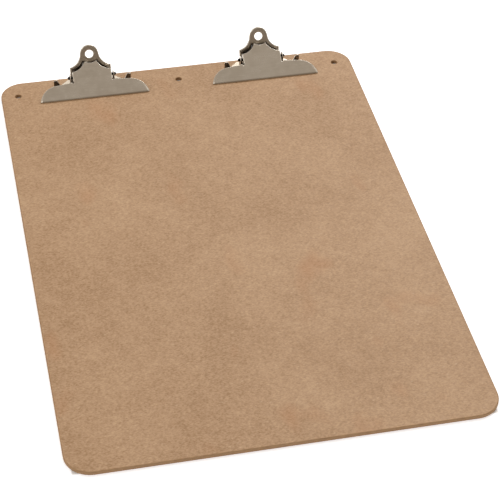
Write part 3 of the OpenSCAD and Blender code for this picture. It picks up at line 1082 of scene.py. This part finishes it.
@dataclass
class JawPlate:
    """The sprung stamping: half-moon wings, neck with two flanges, and lever.

    The blank lies flat with x across, y up the slope and its top face at height 0. The
    front edge is curled under, the flanges are folded down, and the wing ends drooped.
    """

    # Wings: half their width, their depth at the neck and at the ends, the ends' arcs.
    half_w: float = 48.3
    wing_len: float = 15.6
    wing_end_len: float = 14.2
    wing_end_r: float = 17.0
    # Neck and lever: shoulders, tips, the hollow flanks and the hollow top.
    neck_half_w: float = 17.4
    shoulder_len: float = 25.4
    lever_len: float = 34.4
    tip_half_w: float = 5.3
    flank_r: float = 14.2
    hollow_r: float = 9.6
    slope: float = math.radians(32.5)
    # The front edge's curl, and the gap that it leaves over the board.
    curl_r: float = 2.0
    gap: float = 0.15
    # How far the wing ends droop, over what width, and how soon that fades up the slope.
    droop: float = 0.6
    droop_w: float = 1.7
    droop_fade: float = 12.2
    # Flanges: the relief notch, the fold, where it fades at the shoulder, knuckle and hole.
    notch_r: float = 1.1
    bend_r: float = 1.1
    fade_start: float = 0.2
    fade_len: float = 1.6
    fade_least: float = 0.03
    knuckle_r: float = 3.4
    pin_hole_r: float = 1.28
    # Spacing of the points across a fold, and across and up the plain sheet.
    fold_step: float = 0.3
    curl_step: float = 0.25
    plain_step: tuple[float, float] = (3.0, 2.2)
    sheet: Sheet = field(default_factory=Sheet)

    def __post_init__(self) -> None:
        """Works out the curl, the lift that leaves the gap, the fold and the wings' end arcs."""
        self.curl_y = self.curl_r * (1 - math.sin(self.slope)) / math.cos(self.slope)
        self.rise = (self.gap + self.curl_r * math.cos(self.slope)
                     - self.curl_y * math.sin(self.slope))
        self.front = self.curl_y - self.curl_r * (math.pi / 2 - self.slope)
        self.fold_x = self.neck_half_w - self.bend_r
        self.end_y = self.wing_end_len - self.wing_end_r
        self.end_x = self.half_w - math.sqrt(self.wing_end_r ** 2 - self.end_y ** 2)

    def on_plate(self, pin: tuple[float, float]) -> tuple[float, float]:
        """Turns a point of the clip's frame into the plate's own.

        Args:
            pin: Its y and z.

        Returns:
            How far up the slope it lies, and how far below the plate's top face.
        """
        up, out = pin[0], pin[1] - self.rise
        cos, sin = math.cos(self.slope), math.sin(self.slope)
        return up * cos + out * sin, up * sin - out * cos

    def outline(self, pin: tuple[float, float]) -> Array:
        """The flat blank, its flanges unfolded, worked round from the middle of the front.

        Args:
            pin: The pin's place up the slope and its depth below the plate.

        Returns:
            The closed outline.
        """
        corner = math.degrees(math.asin(-self.end_y / self.wing_end_r))
        notch = (self.neck_half_w + self.notch_r / 2, self.wing_len)
        knuckle = (self.fold_x + self.bend_r * math.pi / 2 + pin[1] - self.bend_r, pin[0])
        flank = self.flank_centre()
        start = math.degrees(math.atan2(self.shoulder_len - flank[1], self.neck_half_w - flank[0]))
        end = math.degrees(math.atan2(self.lever_len - flank[1], self.tip_half_w - flank[0]))
        rest = math.sqrt(self.hollow_r ** 2 - self.tip_half_w ** 2)
        reach = math.degrees(math.atan2(rest, self.tip_half_w))
        half = np.concatenate([
            np.array([[0.0, self.front], [self.half_w, self.front]]),
            arc((self.end_x, self.end_y), self.wing_end_r, corner, 90, 60),
            arc(notch, self.notch_r, 0, -240, 20),
            arc(knuckle, self.knuckle_r, -80, 80, 40),
            arc(flank, self.flank_r, start % 360, end % 360, 40),
            arc((0.0, self.lever_len + rest), self.hollow_r, -reach, -90, 24)])
        half[-1, 0] = 0.0
        return mirrored(half)

    def flank_centre(self) -> tuple[float, float]:
        """Centre of the hollow flank's arc, outside the line from shoulder to tip.

        Returns:
            Its x and y.
        """
        shoulder = np.array([self.neck_half_w, self.shoulder_len])
        tip = np.array([self.tip_half_w, self.lever_len])
        chord = tip - shoulder
        away = np.array([chord[1], -chord[0]]) / np.linalg.norm(chord)
        centre = (shoulder + tip) / 2 + away * math.sqrt(self.flank_r ** 2 - chord @ chord / 4)
        return float(centre[0]), float(centre[1])

    def seeds(self) -> Array:
        """Points inside the blank, close together across each fold and round the wing ends.

        Returns:
            A (points, 2) array.
        """
        step, fine = self.fold_step, self.curl_step
        across, up = self.plain_step
        fold_end = self.fold_x + self.bend_r * math.pi / 2
        folds = np.arange(self.fold_x - 0.3, fold_end + 0.5, step)
        xs = np.concatenate([np.arange(-45.0, 45.1, across), folds, -folds])
        ys = np.concatenate([np.arange(self.front + 0.5, self.curl_y + 0.3, fine),
                             np.arange(3.0, 34.0, up)])
        inner_r = self.wing_end_r - self.droop_w
        turn = np.radians(np.arange(12, 89, 2.5))
        rings = [np.stack([side * (self.end_x + r * np.cos(turn)),
                           self.end_y + r * np.sin(turn)], axis=1)
                 for side in (-1, 1) for r in np.arange(inner_r, self.wing_end_r - 0.5, fine)]
        plain = lattice(xs, ys)
        radius = np.hypot(np.abs(plain[:, 0]) - self.end_x, plain[:, 1] - self.end_y)
        end = (np.abs(plain[:, 0]) > self.end_x) & (radius > inner_r - 0.4)
        return np.concatenate([plain[~end], *rings])

    def form(self, x: Array, y: Array, z: Array) -> tuple[Array, Array, Array]:
        """Droops the wing tips, curls the front, folds the flanges and tilts the plate.

        The droop eases in over a width along each end's radius. The fold is a right angle
        about a line along Y, and its radius grows without bound past the shoulder.

        Args:
            x: Across the blank.
            y: Up the blank.
            z: Out of its top face.

        Returns:
            The three in the clip's frame.
        """
        radius = np.hypot(np.clip(np.abs(x) - self.end_x, 0, None),
                          np.clip(y, 0, None) - self.end_y)
        ends = smooth((radius - self.wing_end_r + self.droop_w) / self.droop_w)
        ends = np.where(np.abs(x) > self.end_x, ends * (1 - smooth(y / self.droop_fade)), 0)
        z = z - self.droop * ends * (y < self.wing_end_len)
        back, dip = folded(self.curl_y - y, z, self.curl_r, math.pi / 2 - self.slope)
        y, z = self.curl_y - back, dip
        neck = y > self.wing_len
        past = (y - self.shoulder_len + self.fade_start) / self.fade_len
        grip = np.clip(1 - smooth(past), self.fade_least, 1)
        out, drop = folded(np.abs(x) - self.fold_x, z, self.bend_r / grip, math.pi / 2)
        x = np.where(neck, np.sign(x) * (self.fold_x + out), x)
        z = np.where(neck, drop, z)
        cos, sin = math.cos(self.slope), math.sin(self.slope)
        return x, y * cos - z * sin, self.rise + y * sin + z * cos

    def skin(self, pin: tuple[float, float]) -> Skin:
        """The formed plate, in the clip's frame.

        Args:
            pin: The hinge pin's y and z in the clip's frame.

        Returns:
            Its skin.
        """
        up, depth = self.on_plate(pin)
        fold = self.bend_r * math.pi / 2
        hole_x = self.fold_x + fold + depth - self.bend_r
        holes = [circle_hole((side * hole_x, up), self.pin_hole_r) for side in (-1, 1)]
        outline = softened(self.outline((up, depth)), sigma=0.25, step=0.25)
        made = blank(outline, holes, self.sheet.thickness, self.sheet.edge_r, self.seeds())
        return made.shaped(self.form)


@dataclass
class BasePlate:
    """The fixed stamping: foot, paper stops, ears, and finger plate with hanging ring."""

    # Foot: half its width, its front and rear edges, and the strips beside the neck.
    half_w: float = 34.5
    front: float = 4.5
    corner_r: float = 3.0
    side_l: float = 6.5
    rear_half_w: float = 20.9
    tail: float = 5.7
    # Paper stops: place, height, foot's and top's width, cut corner, fold, relief slit.
    stop_y: float = 17.5
    stop_h: float = 10.4
    stop_w: float = 7.6
    stop_top_w: float = 2.6
    stop_cut: tuple[float, float] = (0.6, 0.8)
    stop_fold_r: float = 0.4
    slit: float = 0.4
    # Ears: inner face, length and front cut of the foot, knuckle and hole.
    ear_x: float = 18.9
    ear_foot: float = 11.0
    ear_cut: float = 1.2
    knuckle_r: float = 3.4
    pin_hole_r: float = 1.23
    # The windows that the ears are lanced out of: half their size, and their set-back.
    window: tuple[float, float] = (4.6, 3.06)
    window_back: float = 1.2
    rivet_x: float = 25.0
    rivet_y: float = 11.5
    rivet_hole_r: float = 1.73
    # Finger plate: slope, rolled bend, where its face meets the board, half its width.
    slope: float = math.radians(68)
    bend_r: float = 1.2
    plate_y: float = 24.7081
    plate_half_w: float = 18.4
    tuck: float = 1.2
    flank_r: float = 12.0
    flank_place: tuple[float, float] = (20.4, 26.4)
    # Hanging ring: height up the plate, outer and hole radius, rolled lip.
    ring_up: float = 25.6
    ring_r: float = 8.2
    ring_hole_r: float = 3.5
    lip_r: float = 0.55
    # Pressed panel: the border round it, its depth, its wall's width, its lower edge.
    border: float = 3.0
    panel_depth: float = 1.5
    panel_wall: float = 0.95
    panel_foot: float = 7.0
    panel_band: float = 0.2
    # Turned-back rim: its depth, its round, its width, and where it starts and is full.
    rim_depth: float = 1.7
    rim_r: float = 0.7
    rim_w: float = 1.3
    rim_start: float = 4.0
    rim_ease: float = 6.0
    sheet: Sheet = field(default_factory=Sheet)

    def __post_init__(self) -> None:
        """Places the bend between foot and finger plate, and the paper stops' fold."""
        t, r = self.sheet.thickness, self.bend_r
        cos, sin = math.cos(self.slope), math.sin(self.slope)
        self.bend_y = self.plate_y + ((t + r) * cos - r) / sin
        self.bend_up = (self.bend_y - self.plate_y) * cos + (t + r) * sin
        self.fold_y = self.stop_y - self.stop_fold_r

    def unrolled(self, up: float) -> float:
        """Distance past the start of the bend of a point that far up the finger plate."""
        return up - self.bend_up + self.bend_r * self.slope

    def foot_outline(self) -> Array:
        """The foot with its paper stops unfolded, worked round from the middle of the front.

        Returns:
            The closed outline.
        """
        t, w = self.sheet.thickness, self.half_w
        rise = self.fold_y + self.stop_fold_r * math.pi / 2 - self.stop_fold_r - t
        cut_w, cut_h = self.stop_cut
        top, inner = w - cut_w, w - self.stop_w
        rear, under = self.plate_y + self.tail, self.bend_y - 1.0
        half = np.concatenate([
            np.array([[0.0, self.front]]),
            arc((w - self.corner_r, self.front + self.corner_r), self.corner_r, -90, 0, 12),
            np.array([[w, rise + self.stop_h - cut_h], [top, rise + self.stop_h],
                      [top - self.stop_top_w, rise + self.stop_h],
                      [inner, rise + t + self.stop_fold_r],
                      [inner, self.fold_y], [inner - self.slit, self.fold_y],
                      [inner - self.slit, self.stop_y + t + self.side_l], [self.rear_half_w, rear],
                      [self.ear_x, rear], [self.ear_x, under], [0.0, under]])])
        return mirrored(half)

    def form_foot(self, x: Array, y: Array, z: Array) -> tuple[Array, Array, Array]:
        """Folds the paper stops up, by a right angle about a line along X.

        Args:
            x: Across the blank.
            y: Back along it.
            z: Out of its top face.

        Returns:
            The three in the clip's frame, with the foot on the board.
        """
        stop = np.abs(x) > self.half_w - self.stop_w - self.slit / 2
        along, height = folded(y - self.fold_y, -z, self.stop_fold_r, math.pi / 2)
        y = np.where(stop, self.fold_y + along, y)
        z = np.where(stop, -height, z)
        return x, y, z + self.sheet.thickness

    def foot(self, pin: tuple[float, float]) -> Skin:
        """The foot, with its rivet holes and the windows that the ears leave.

        Args:
            pin: The hinge pin's y and z in the clip's frame.

        Returns:
            Its skin.
        """
        half_w, _ = self.window
        window = np.array([[-1, -1], [-1, 1], [1, 1], [1, -1]]) * self.window
        centre = self.ear_x - half_w, pin[0] - self.window_back
        holes = [circle_hole((side * self.rivet_x, self.rivet_y), self.rivet_hole_r)
                 for side in (-1, 1)]
        holes += [softened(window + np.array(centre) * (side, 1), 0.3) for side in (-1, 1)]
        bend = np.arange(self.fold_y - 0.3, self.fold_y + 1.1, 0.16)
        columns = np.arange(self.half_w - self.stop_w + 0.6, self.half_w - 0.4, 0.8)
        seeds = np.concatenate([lattice(columns, bend), lattice(-columns, bend)])
        outline = softened(self.foot_outline(), sigma=0.22, step=0.3)
        made = blank(outline, holes, self.sheet.thickness, self.sheet.edge_r, seeds)
        return made.shaped(self.form_foot)

    def ear(self, side: int, pin: tuple[float, float]) -> Skin:
        """An ear: a knuckle on a tapering foot, drawn flat and stood up across the clip.

        Args:
            side: -1 or 1, its side of the clip.
            pin: The hinge pin's y and z in the clip's frame.

        Returns:
            Its skin.
        """
        y, half = pin[0], self.ear_foot / 2
        sunk = 0.1  # how high the ear starts, inside the foot's thickness
        outline = np.concatenate([
            np.array([[y - half, sunk], [y + half - self.ear_cut, sunk]]),
            arc(pin, self.knuckle_r, -12, 192, 50)])
        hole = circle_hole(pin, self.pin_hole_r)
        made = blank(softened(outline, 0.35), [hole], self.sheet.thickness, self.sheet.edge_r)
        outer = self.ear_x + self.sheet.thickness
        return made.shaped(lambda u, v, h: (side * (outer + h), u, v))

    def plate_outline(self) -> Array:
        """The finger plate, unrolled, from its tuck under the foot to the top of the ring.

        Returns:
            The closed outline.
        """
        fx, fy = self.flank_place
        reach = math.degrees(math.acos((fx - self.plate_half_w) / self.flank_r))
        half = np.concatenate([
            np.array([[0.0, -self.tuck], [self.plate_half_w, -self.tuck]]),
            arc((fx, fy), self.flank_r, 180 + reach, 180, 40),
            arc((0.0, self.ring_up), self.ring_r, 6, 90, 40)])
        half[-1, 0] = 0.0
        raised = half[:, 1] > 0
        half[:, 1] = np.where(raised, self.unrolled(half[:, 1]), half[:, 1])
        return mirrored(half)

    def panel_outline(self) -> Array:
        """The pressed panel: inside the border, round the ring and above the foot.

        The flank's arc and the ring's meet where the triangle of both radii and the span
        between both centres has its corner.

        Returns:
            The closed outline.
        """
        fx, fy = self.flank_place
        side, wide = self.plate_half_w - self.border, self.flank_r + self.border
        reach = math.degrees(math.acos((fx - side) / wide))
        span = math.hypot(fx, fy - self.ring_up)
        near = math.acos((self.ring_r ** 2 + span ** 2 - wide ** 2) / (2 * self.ring_r * span))
        lean = math.atan2(fy - self.ring_up, fx) - near
        meet_x = self.ring_r * math.cos(lean)
        meet_y = self.ring_up + self.ring_r * math.sin(lean)
        stop = math.degrees(math.atan2(meet_y - fy, meet_x - fx)) % 360
        half = np.concatenate([
            np.array([[0.0, self.panel_foot], [side, self.panel_foot]]),
            arc((fx, fy), wide, 180 + reach, stop, 30),
            arc((0.0, self.ring_up), self.ring_r, math.degrees(lean), -90, 30)])
        half[-1, 0] = 0.0
        half[:, 1] = self.unrolled(half[:, 1])
        return mirrored(half)

    def form_plate(self, x: Array, y: Array, z: Array) -> tuple[Array, Array, Array]:
        """Rolls the finger plate up through its bend, off the foot's plane.

        Args:
            x: Across the blank.
            y: Past the start of the bend.
            z: Out of its top face.

        Returns:
            The three in the clip's frame.
        """
        along, height = folded(y, -z, self.bend_r, self.slope)
        return x, self.bend_y + along, self.sheet.thickness - height

    def plate(self) -> Skin:
        """The finger plate: turned-back rim, pressed panel, punched and rolled ring.

        Returns:
            Its skin.
        """
        t, r, deep = self.sheet.thickness, self.sheet.edge_r, self.panel_depth
        skin = Skin()
        outline = softened(self.plate_outline(), sigma=0.28, step=0.3)
        panel = softened(self.panel_outline(), 0.55)
        hole = circle_hole((0.0, self.unrolled(self.ring_up)), self.ring_hole_r, 72)
        self.turn_back(skin, outline)
        lip = np.concatenate([[[self.lip_r + BAND, 0.0]], round_edge(t, self.lip_r)[1:6],
                              round_edge(t, r, self.lip_r - r + BAND)[6:]])
        skin.rim(hole, lip)
        steps = np.linspace(0, 1, 9)
        wall = np.stack([self.panel_wall * steps, -deep * smooth(steps)], axis=1)
        wide = self.panel_wall + self.panel_band
        section = np.concatenate([[[-self.panel_band, 0.0]], wall, [[wide, -deep]]])
        for level in (0.0, t):
            skin.rim(panel, section - (0.0, level), 0.3)
        inside = panel + wide * inward(panel)
        loops = [outline + self.rim_w * inward(outline), hole + lip[0, 0] * inward(hole),
                 panel - self.panel_band * inward(panel)]
        folds = np.arange(0.0, self.bend_r * self.slope + 0.3, 0.12)
        seeds = lattice(np.arange(-16.0, 16.1, 2.0), folds)
        for level in (0.0, t):
            skin.face(loops, -level, seeds)
            skin.face([inside], -deep - level)
        return skin.shaped(self.form_plate)

    def turn_back(self, skin: Skin, outline: Array) -> None:
        """Gives the finger plate's outline its turned-back rim, which fades out at the foot.

        The section is a flat band, a quarter circle, an upright side that goes deeper by
        the rim's depth less the sheet, a narrow return, and the underside's band.

        Args:
            skin: The finger plate's skin.
            outline: Its outline, unrolled.
        """
        t = self.sheet.thickness
        turn = np.radians(np.linspace(90, 0, 7))
        outer = self.rim_r * np.stack([1 - np.cos(turn), np.sin(turn) - 1], axis=1)
        above = np.concatenate([[[self.rim_w, 0.0], [self.rim_r + 0.2, 0.0]], outer])
        below = np.array([[0.0, -t], [0.12, -t], [t - 0.15, -t], [t, -t], [self.rim_w, -t]])
        profile = np.concatenate([above, below])
        sunk = np.concatenate([np.zeros(len(above)), [1, 1, 1, 0, 0]])
        fade = smooth((outline[:, 1] - self.rim_start) / self.rim_ease)
        place = outline[None] + profile[:, None, :1] * inward(outline)[None]
        height = profile[:, 1:] - sunk[:, None] * fade[None] * (self.rim_depth - t)
        skin.grid(np.concatenate([place, height[..., None]], axis=2), 1.0)

    def skins(self, pin: tuple[float, float]) -> Skin:
        """Everything stamped from the one base, in the clip's frame.

        Args:
            pin: The hinge pin's y and z in the clip's frame.

        Returns:
            One skin of foot, finger plate and both ears.
        """
        whole = self.foot(pin)
        for part in (self.plate(), self.ear(-1, pin), self.ear(1, pin)):
            whole.joined(part)
        return whole


@dataclass
class Pin:
    """The hinge pin: a drawn rod, both ends peened to low domes outside the ears."""

    radius: float = 1.2
    head_r: float = 1.55
    head_l: float = 2.0
    head_x: float = 19.75
    finish: Finish = MusicWire(name="blackened_pin_steel", body="#2B2826", blue="#212123")

    def skin(self, pin: tuple[float, float]) -> Skin:
        """A turned profile laid along X: rod, step, and a quarter ellipse at each end.

        Args:
            pin: Its axis's y and z in the clip's frame.

        Returns:
            Its skin.
        """
        turn = np.radians(np.linspace(0, 90, 14))
        dome = np.stack([self.head_r * np.cos(turn),
                         self.head_x + self.head_l * np.sin(turn)], axis=1)
        dome[-1, 0] = TIP
        half = np.concatenate([[[self.radius, 0.0], [self.radius, self.head_x - 0.02],
                                [self.head_r - 0.1, self.head_x - 0.01]], dome])
        whole = np.concatenate([half[::-1] * (1, -1), half[1:]])
        rows = turned(whole, 40)
        skin = Skin()
        laid = np.stack([rows[..., 2], rows[..., 0] + pin[0], rows[..., 1] + pin[1]], axis=2)
        skin.grid(laid, 0.2)
        return closed_ends(skin, rows.shape)


@dataclass
class Rivet:
    """A semi-tubular rivet: domed head above, end rolled outwards in the board's pocket."""

    shank_r: float = 1.7
    head_r: float = 3.2
    head_h: float = 1.0
    clinch_r: float = 3.3
    clinch_h: float = 0.8
    sink: float = 0.1
    # The tube: its bore, how deep that goes, and the wall that the end is rolled from.
    hollow_r: float = 0.95
    hollow_l: float = 2.2
    wall: float = 0.5
    finish: Finish = RivetSteel()

    def skin(self, place: tuple[float, float], foot_top: float, back: float) -> Skin:
        """Head, shank, rolled end and hollow, as one turned profile.

        Args:
            place: Its x and y in the clip's frame.
            foot_top: Height of the sheet that the head sits on.
            back: Height of the board's back face.

        Returns:
            Its skin.
        """
        turn = np.radians(np.linspace(90, 8, 16))
        head = np.stack([self.head_r * np.cos(turn),
                         foot_top + self.head_h * np.sin(turn) + 0.01], axis=1)
        head[0, 0] = TIP
        under, low = foot_top + 0.005, back + self.sink
        seat = low + self.clinch_h
        neck = [[self.head_r - 0.08, under], [self.shank_r, under], [self.shank_r, seat]]
        roll = np.radians(np.linspace(90, -90, 14))
        curl_r = (self.clinch_r - self.hollow_r - self.wall) / 2
        curl = np.stack([self.clinch_r - curl_r + curl_r * np.cos(roll),
                         low + self.clinch_h / 2 * (1 + np.sin(roll))], axis=1)
        inner = [[self.hollow_r + 0.35, low + 0.12], [self.hollow_r, low + 0.5],
                 [self.hollow_r, low + self.hollow_l - 0.3], [TIP, low + self.hollow_l]]
        profile = np.concatenate([head, neck, curl, inner])
        rows = turned(profile, 48) + np.array([place[0], place[1], 0.0])
        skin = Skin()
        skin.grid(rows, 0.3)
        return closed_ends(skin, rows.shape)


@dataclass
class Spring:
    """A torsion spring round the pin, one leg on each plate."""

    wire_d: float = 1.3
    coil_r: float = 2.7
    turns: int = 9
    turn_gap: float = 0.25
    front_leg: float = 30.0
    rear_leg: float = 18.0
    leg_gap: float = 0.06
    # How much of its radius the wire keeps at its two cut ends.
    cut_share: float = 0.82
    sides: int = 18
    steps_a_turn: int = 48
    steps_a_leg: int = 24
    finish: Finish = MusicWire()

    def path(self, pin: tuple[float, float], jaw: JawPlate, base: BasePlate) -> Array:
        """The wire's middle line: rear leg, a helix about the pin, front leg.

        Each leg leaves the coil where the tangent to the coil's circle reaches its end, and
        the helix runs evenly along X while it turns.

        Args:
            pin: The hinge pin's y and z in the clip's frame.
            jaw: The plate that the front leg pushes on.
            base: The plate that the rear leg rests on.

        Returns:
            A (points, 3) array.
        """
        off = self.wire_d / 2 + self.leg_gap
        up = np.array([math.cos(jaw.slope), math.sin(jaw.slope)])
        front = (np.array([0, jaw.rise]) + self.front_leg * up
                 + (jaw.sheet.thickness + off) * np.array([up[1], -up[0]]))
        rise = np.array([math.cos(base.slope), math.sin(base.slope)])
        rear = (np.array([base.plate_y, 0]) + self.rear_leg * rise
                + (off - base.panel_depth) * np.array([-rise[1], rise[0]]))
        centre = np.array(pin)
        rear_angle, front_angle = self.leave(rear - centre, -1), self.leave(front - centre, 1)
        sweep = 2 * math.pi * self.turns - (front_angle - rear_angle)
        self.length = sweep / (2 * math.pi) * (self.wire_d + self.turn_gap)
        part = np.linspace(0, 1, round(self.turns * self.steps_a_turn))
        angle = rear_angle - sweep * part
        coil = np.stack([self.length * (part - 0.5), centre[0] + self.coil_r * np.cos(angle),
                         centre[1] + self.coil_r * np.sin(angle)], axis=1)
        leg = np.linspace(0, 1, self.steps_a_leg)[:, None]
        rear_end = np.array([-self.length / 2, *rear])
        front_end = np.array([self.length / 2, *front])
        return np.concatenate([rear_end + (coil[0] - rear_end) * leg[:-1], coil,
                               coil[-1] + (front_end - coil[-1]) * leg[1:]])

    def leave(self, end: Array, way: int) -> float:
        """Angle on the coil at which a straight leg to an end leaves it; way picks the side."""
        return math.atan2(end[1], end[0]) + way * math.acos(self.coil_r / np.linalg.norm(end))

    def skin(self, path: Array) -> Skin:
        """Carries the wire's rings along its path, its two cut ends slightly rounded.

        Args:
            path: The wire's middle line.

        Returns:
            Its skin.
        """
        radius = np.full(len(path), self.wire_d / 2)
        radius[[0, -1]] *= self.cut_share
        rows = tube_rows(path, radius, self.sides)
        skin = Skin()
        skin.grid(rows, 0.0)
        return closed_ends(skin, rows.shape)


@dataclass
class Clip:
    """One lever clip, built in its own frame: y from the jaw's front edge, z from the board."""

    side: Side
    jaw: JawPlate = field(default_factory=JawPlate)
    base: BasePlate = field(default_factory=BasePlate)
    pin: Pin = field(default_factory=Pin)
    rivet: Rivet = field(default_factory=Rivet)
    spring: Spring = field(default_factory=Spring)

    def __post_init__(self) -> None:
        """Reads the clip's place and its hinge line from the frame."""
        word = self.side.word
        low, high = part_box(f"{word}_jaw_plate")
        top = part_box("board")[1].z
        self.origin = Vector(((low.x + high.x) / 2, low.y, top))
        joint = next(j for j in frame["joints"] if j["name"] == f"{word}_jaw_hinge")
        place = (Vector(joint["pos_m"]) - self.origin) / MM
        self.pin_place = (place.y, place.z)
        self.body = f"{word}_jaw"
        self.board_t = top / MM

    def rivet_places(self) -> list[tuple[float, float]]:
        """The rivets' x and y in the part's frame, in mm."""
        x, y, _ = self.origin / MM
        return [(x + side * self.base.rivet_x, y + self.base.rivet_y) for side in (-1, 1)]

    def settle(self, skin: Skin, name: str, node: str, body: str,
               finish: Finish) -> bpy.types.Object:
        """Makes one piece of the clip, hangs it on its body and hides the CAD node that it
        replaces.

        Args:
            skin: Its surface, in the clip's frame.
            name: The piece's name, after the side's word.
            node: The CAD node that it replaces, after the side's word.
            body: The body that it rides on.
            finish: What it is made of.

        Returns:
            The new object.
        """
        word = self.side.word
        piece = skin.piece(f"{word}_{name}", self.origin)
        finish.dress(piece)
        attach(piece, body)
        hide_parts(f"{word}_{node}")
        return piece

    def build(self) -> list[bpy.types.Object]:
        """Makes the clip's stampings, pin, rivets and spring.

        Returns:
            The six objects.
        """
        pieces = [
            self.settle(self.base.skins(self.pin_place), "base_stamping", "base_plate", "root",
                        self.base.sheet.finish),
            self.settle(self.jaw.skin(self.pin_place), "jaw_stamping", "jaw_plate", self.body,
                        self.jaw.sheet.finish),
            self.settle(self.pin.skin(self.pin_place), "peened_pin", "hinge_pin", "root",
                        self.pin.finish)]
        for place, word in ((self.side.value, "outer"), (-self.side.value, "inner")):
            skin = self.rivet.skin((place * self.base.rivet_x, self.base.rivet_y),
                                   self.base.sheet.thickness, -self.board_t)
            pieces.append(self.settle(skin, f"{word}_tubular_rivet", f"{word}_rivet", "root",
                                      self.rivet.finish))
        pieces.append(self.wind_spring())
        return pieces

    def wind_spring(self) -> bpy.types.Object:
        """Makes the spring, wound between the base and the jaw of the closed clip.

        Returns:
            The new object.
        """
        word = self.side.word
        path = self.spring.path(self.pin_place, self.jaw, self.base)
        piece = self.spring.skin(path).piece(f"{word}_torsion_spring", self.origin)
        self.spring.finish.dress(piece)
        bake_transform(piece)
        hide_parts(f"{word}_spring")
        return piece


# ---------------------------------------------------------------- the studio


@dataclass
class Studio:
    """A pale paper ground, soft light all round, and the camera."""

    camera_place: tuple[float, float, float] = (-0.2109, -1.0278, 0.8911)
    look: tuple[float, float, float] = (0.1661, 0.7379, -0.6542)
    up: tuple[float, float, float] = (0.1235, 0.6426, 0.7562)
    lens_mm: float = 122.99
    sensor_mm: float = 36.0
    ground_r: float = 6.0
    ground_gap: float = 0.0002
    aim: tuple[float, float, float] = (0, 0.05, 0)
    # The room's light from the ground up, as a place from 0 to 1 and a colour.
    sky: tuple[tuple[float, str], ...] = (
        (0.0, "#B8B0A6"), (0.30, "#F4F2EE"), (0.72, "#F4F2EE"), (0.86, "#CCC6BF"), (1.0, "#C6C0B9"))
    camera_side: str = "#8F867B"
    low_behind: str = "#463E36"
    # How much brighter the room is high behind the board, where a window would be.
    window: float = 0.9
    finish: Finish = PaperSweep()

    def camera(self) -> None:
        """Sets the camera, its axes taken from where it looks and which way is up."""
        data = bpy.data.cameras.new("camera")
        data.lens, data.sensor_width = self.lens_mm, self.sensor_mm
        made = bpy.data.objects.new("camera", data)
        bpy.context.scene.collection.objects.link(made)
        back = -Vector(self.look).normalized()
        right = Vector(self.up).cross(back).normalized()
        above = back.cross(right)
        turn = Matrix((right, above, back)).transposed().to_4x4()
        made.matrix_world = Matrix.Translation(Vector(self.camera_place)) @ turn
        bpy.context.scene.camera = made

    def ground(self) -> None:
        """Lays the paper just under the part: a disc of rings, the middle ones finer."""
        level = cad_bounds[0].z - self.ground_gap
        radius = np.linspace(0.02, 1, 24)[:, None] ** 2 * self.ground_r
        rows = turned(np.concatenate([radius, np.full_like(radius, level)], axis=1) / MM, 72)
        skin = Skin()
        skin.grid(rows)
        paper = closed_ends(skin, rows.shape, False).piece("paper_ground", Vector((0, 0, 0)))
        self.finish.dress(paper)

    def lamp(self, name: str, place: tuple[float, float, float], size: float, watts: float) -> None:
        """Hangs one round white soft box, aimed at the part's middle.

        Args:
            name: The lamp's name.
            place: Where it hangs, in metres.
            size: How wide it is, in metres.
            watts: Its power.
        """
        data = bpy.data.lights.new(name, "AREA")
        data.shape, data.size, data.energy = "DISK", size, watts
        made = bpy.data.objects.new(name, data)
        bpy.context.scene.collection.objects.link(made)
        made.location = place
        away = Vector(place) - Vector(self.aim)
        made.rotation_euler = away.to_track_quat("Z", "Y").to_euler()

    def light(self) -> None:
        """Fills the world with white and hangs two soft boxes.

        The white is greyed overhead, in front and low behind, and brighter high behind.
        """
        world = bpy.data.worlds.new("studio")
        world.use_nodes = True
        bpy.context.scene.world = world
        tree = world.node_tree
        tree.nodes.clear()
        way = add(tree, "TexCoord").node.outputs["Generated"]
        parts = add(tree, "SeparateXYZ", way).node.outputs
        depth, height = parts["Y"], parts["Z"]
        sky = add(tree, "ValToRGB", add(tree, "MapRange", height, -0.2, 1.0), stops=self.sky)
        front = add(tree, "Math MULTIPLY", add(tree, "MapRange", depth, -0.25, -0.6),
                    add(tree, "MapRange", height, 0.92, 0.6))
        sky = add(tree, "Mix RGBA", front, sky, linear(self.camera_side))
        behind = add(tree, "MapRange", depth, 0.35, 0.7)
        low = add(tree, "Math MULTIPLY", behind, add(tree, "MapRange", height, 0.4, 0.2))
        sky = add(tree, "Mix RGBA", low, sky, linear(self.low_behind))
        high = add(tree, "Math MULTIPLY", behind, add(tree, "MapRange", height, 0.48, 0.6))
        strength = add(tree, "Math MULTIPLY_ADD", high, self.window, 1.0)
        add(tree, "OutputWorld", add(tree, "Background", sky, strength))
        self.lamp("key_box", (1.1, 1.6, 1.8), 1.6, 32.0)
        self.lamp("fill_box", (-1.8, -0.6, 1.7), 1.6, 9.0)

    def build(self) -> None:
        """Sets the camera, the ground and the lights, and plain colour handling."""
        self.camera()
        self.ground()
        self.light()
        bpy.context.scene.view_settings.view_transform = "Standard"


def main() -> None:
    """Builds the studio, the board and both clips."""
    logging.basicConfig(level=logging.INFO, format="%(name)s: %(message)s")
    Studio().build()
    clips = [Clip(side) for side in Side]
    pieces = [Board(rivet_places=[p for clip in clips for p in clip.rivet_places()]).build()]
    for clip in clips:
        pieces.extend(clip.build())
    for piece in pieces:
        log.info("%s: %d faces", piece.name, len(piece.data.polygons))
    bpy.context.view_layer.update()


if __name__ == "__main__":
    main()
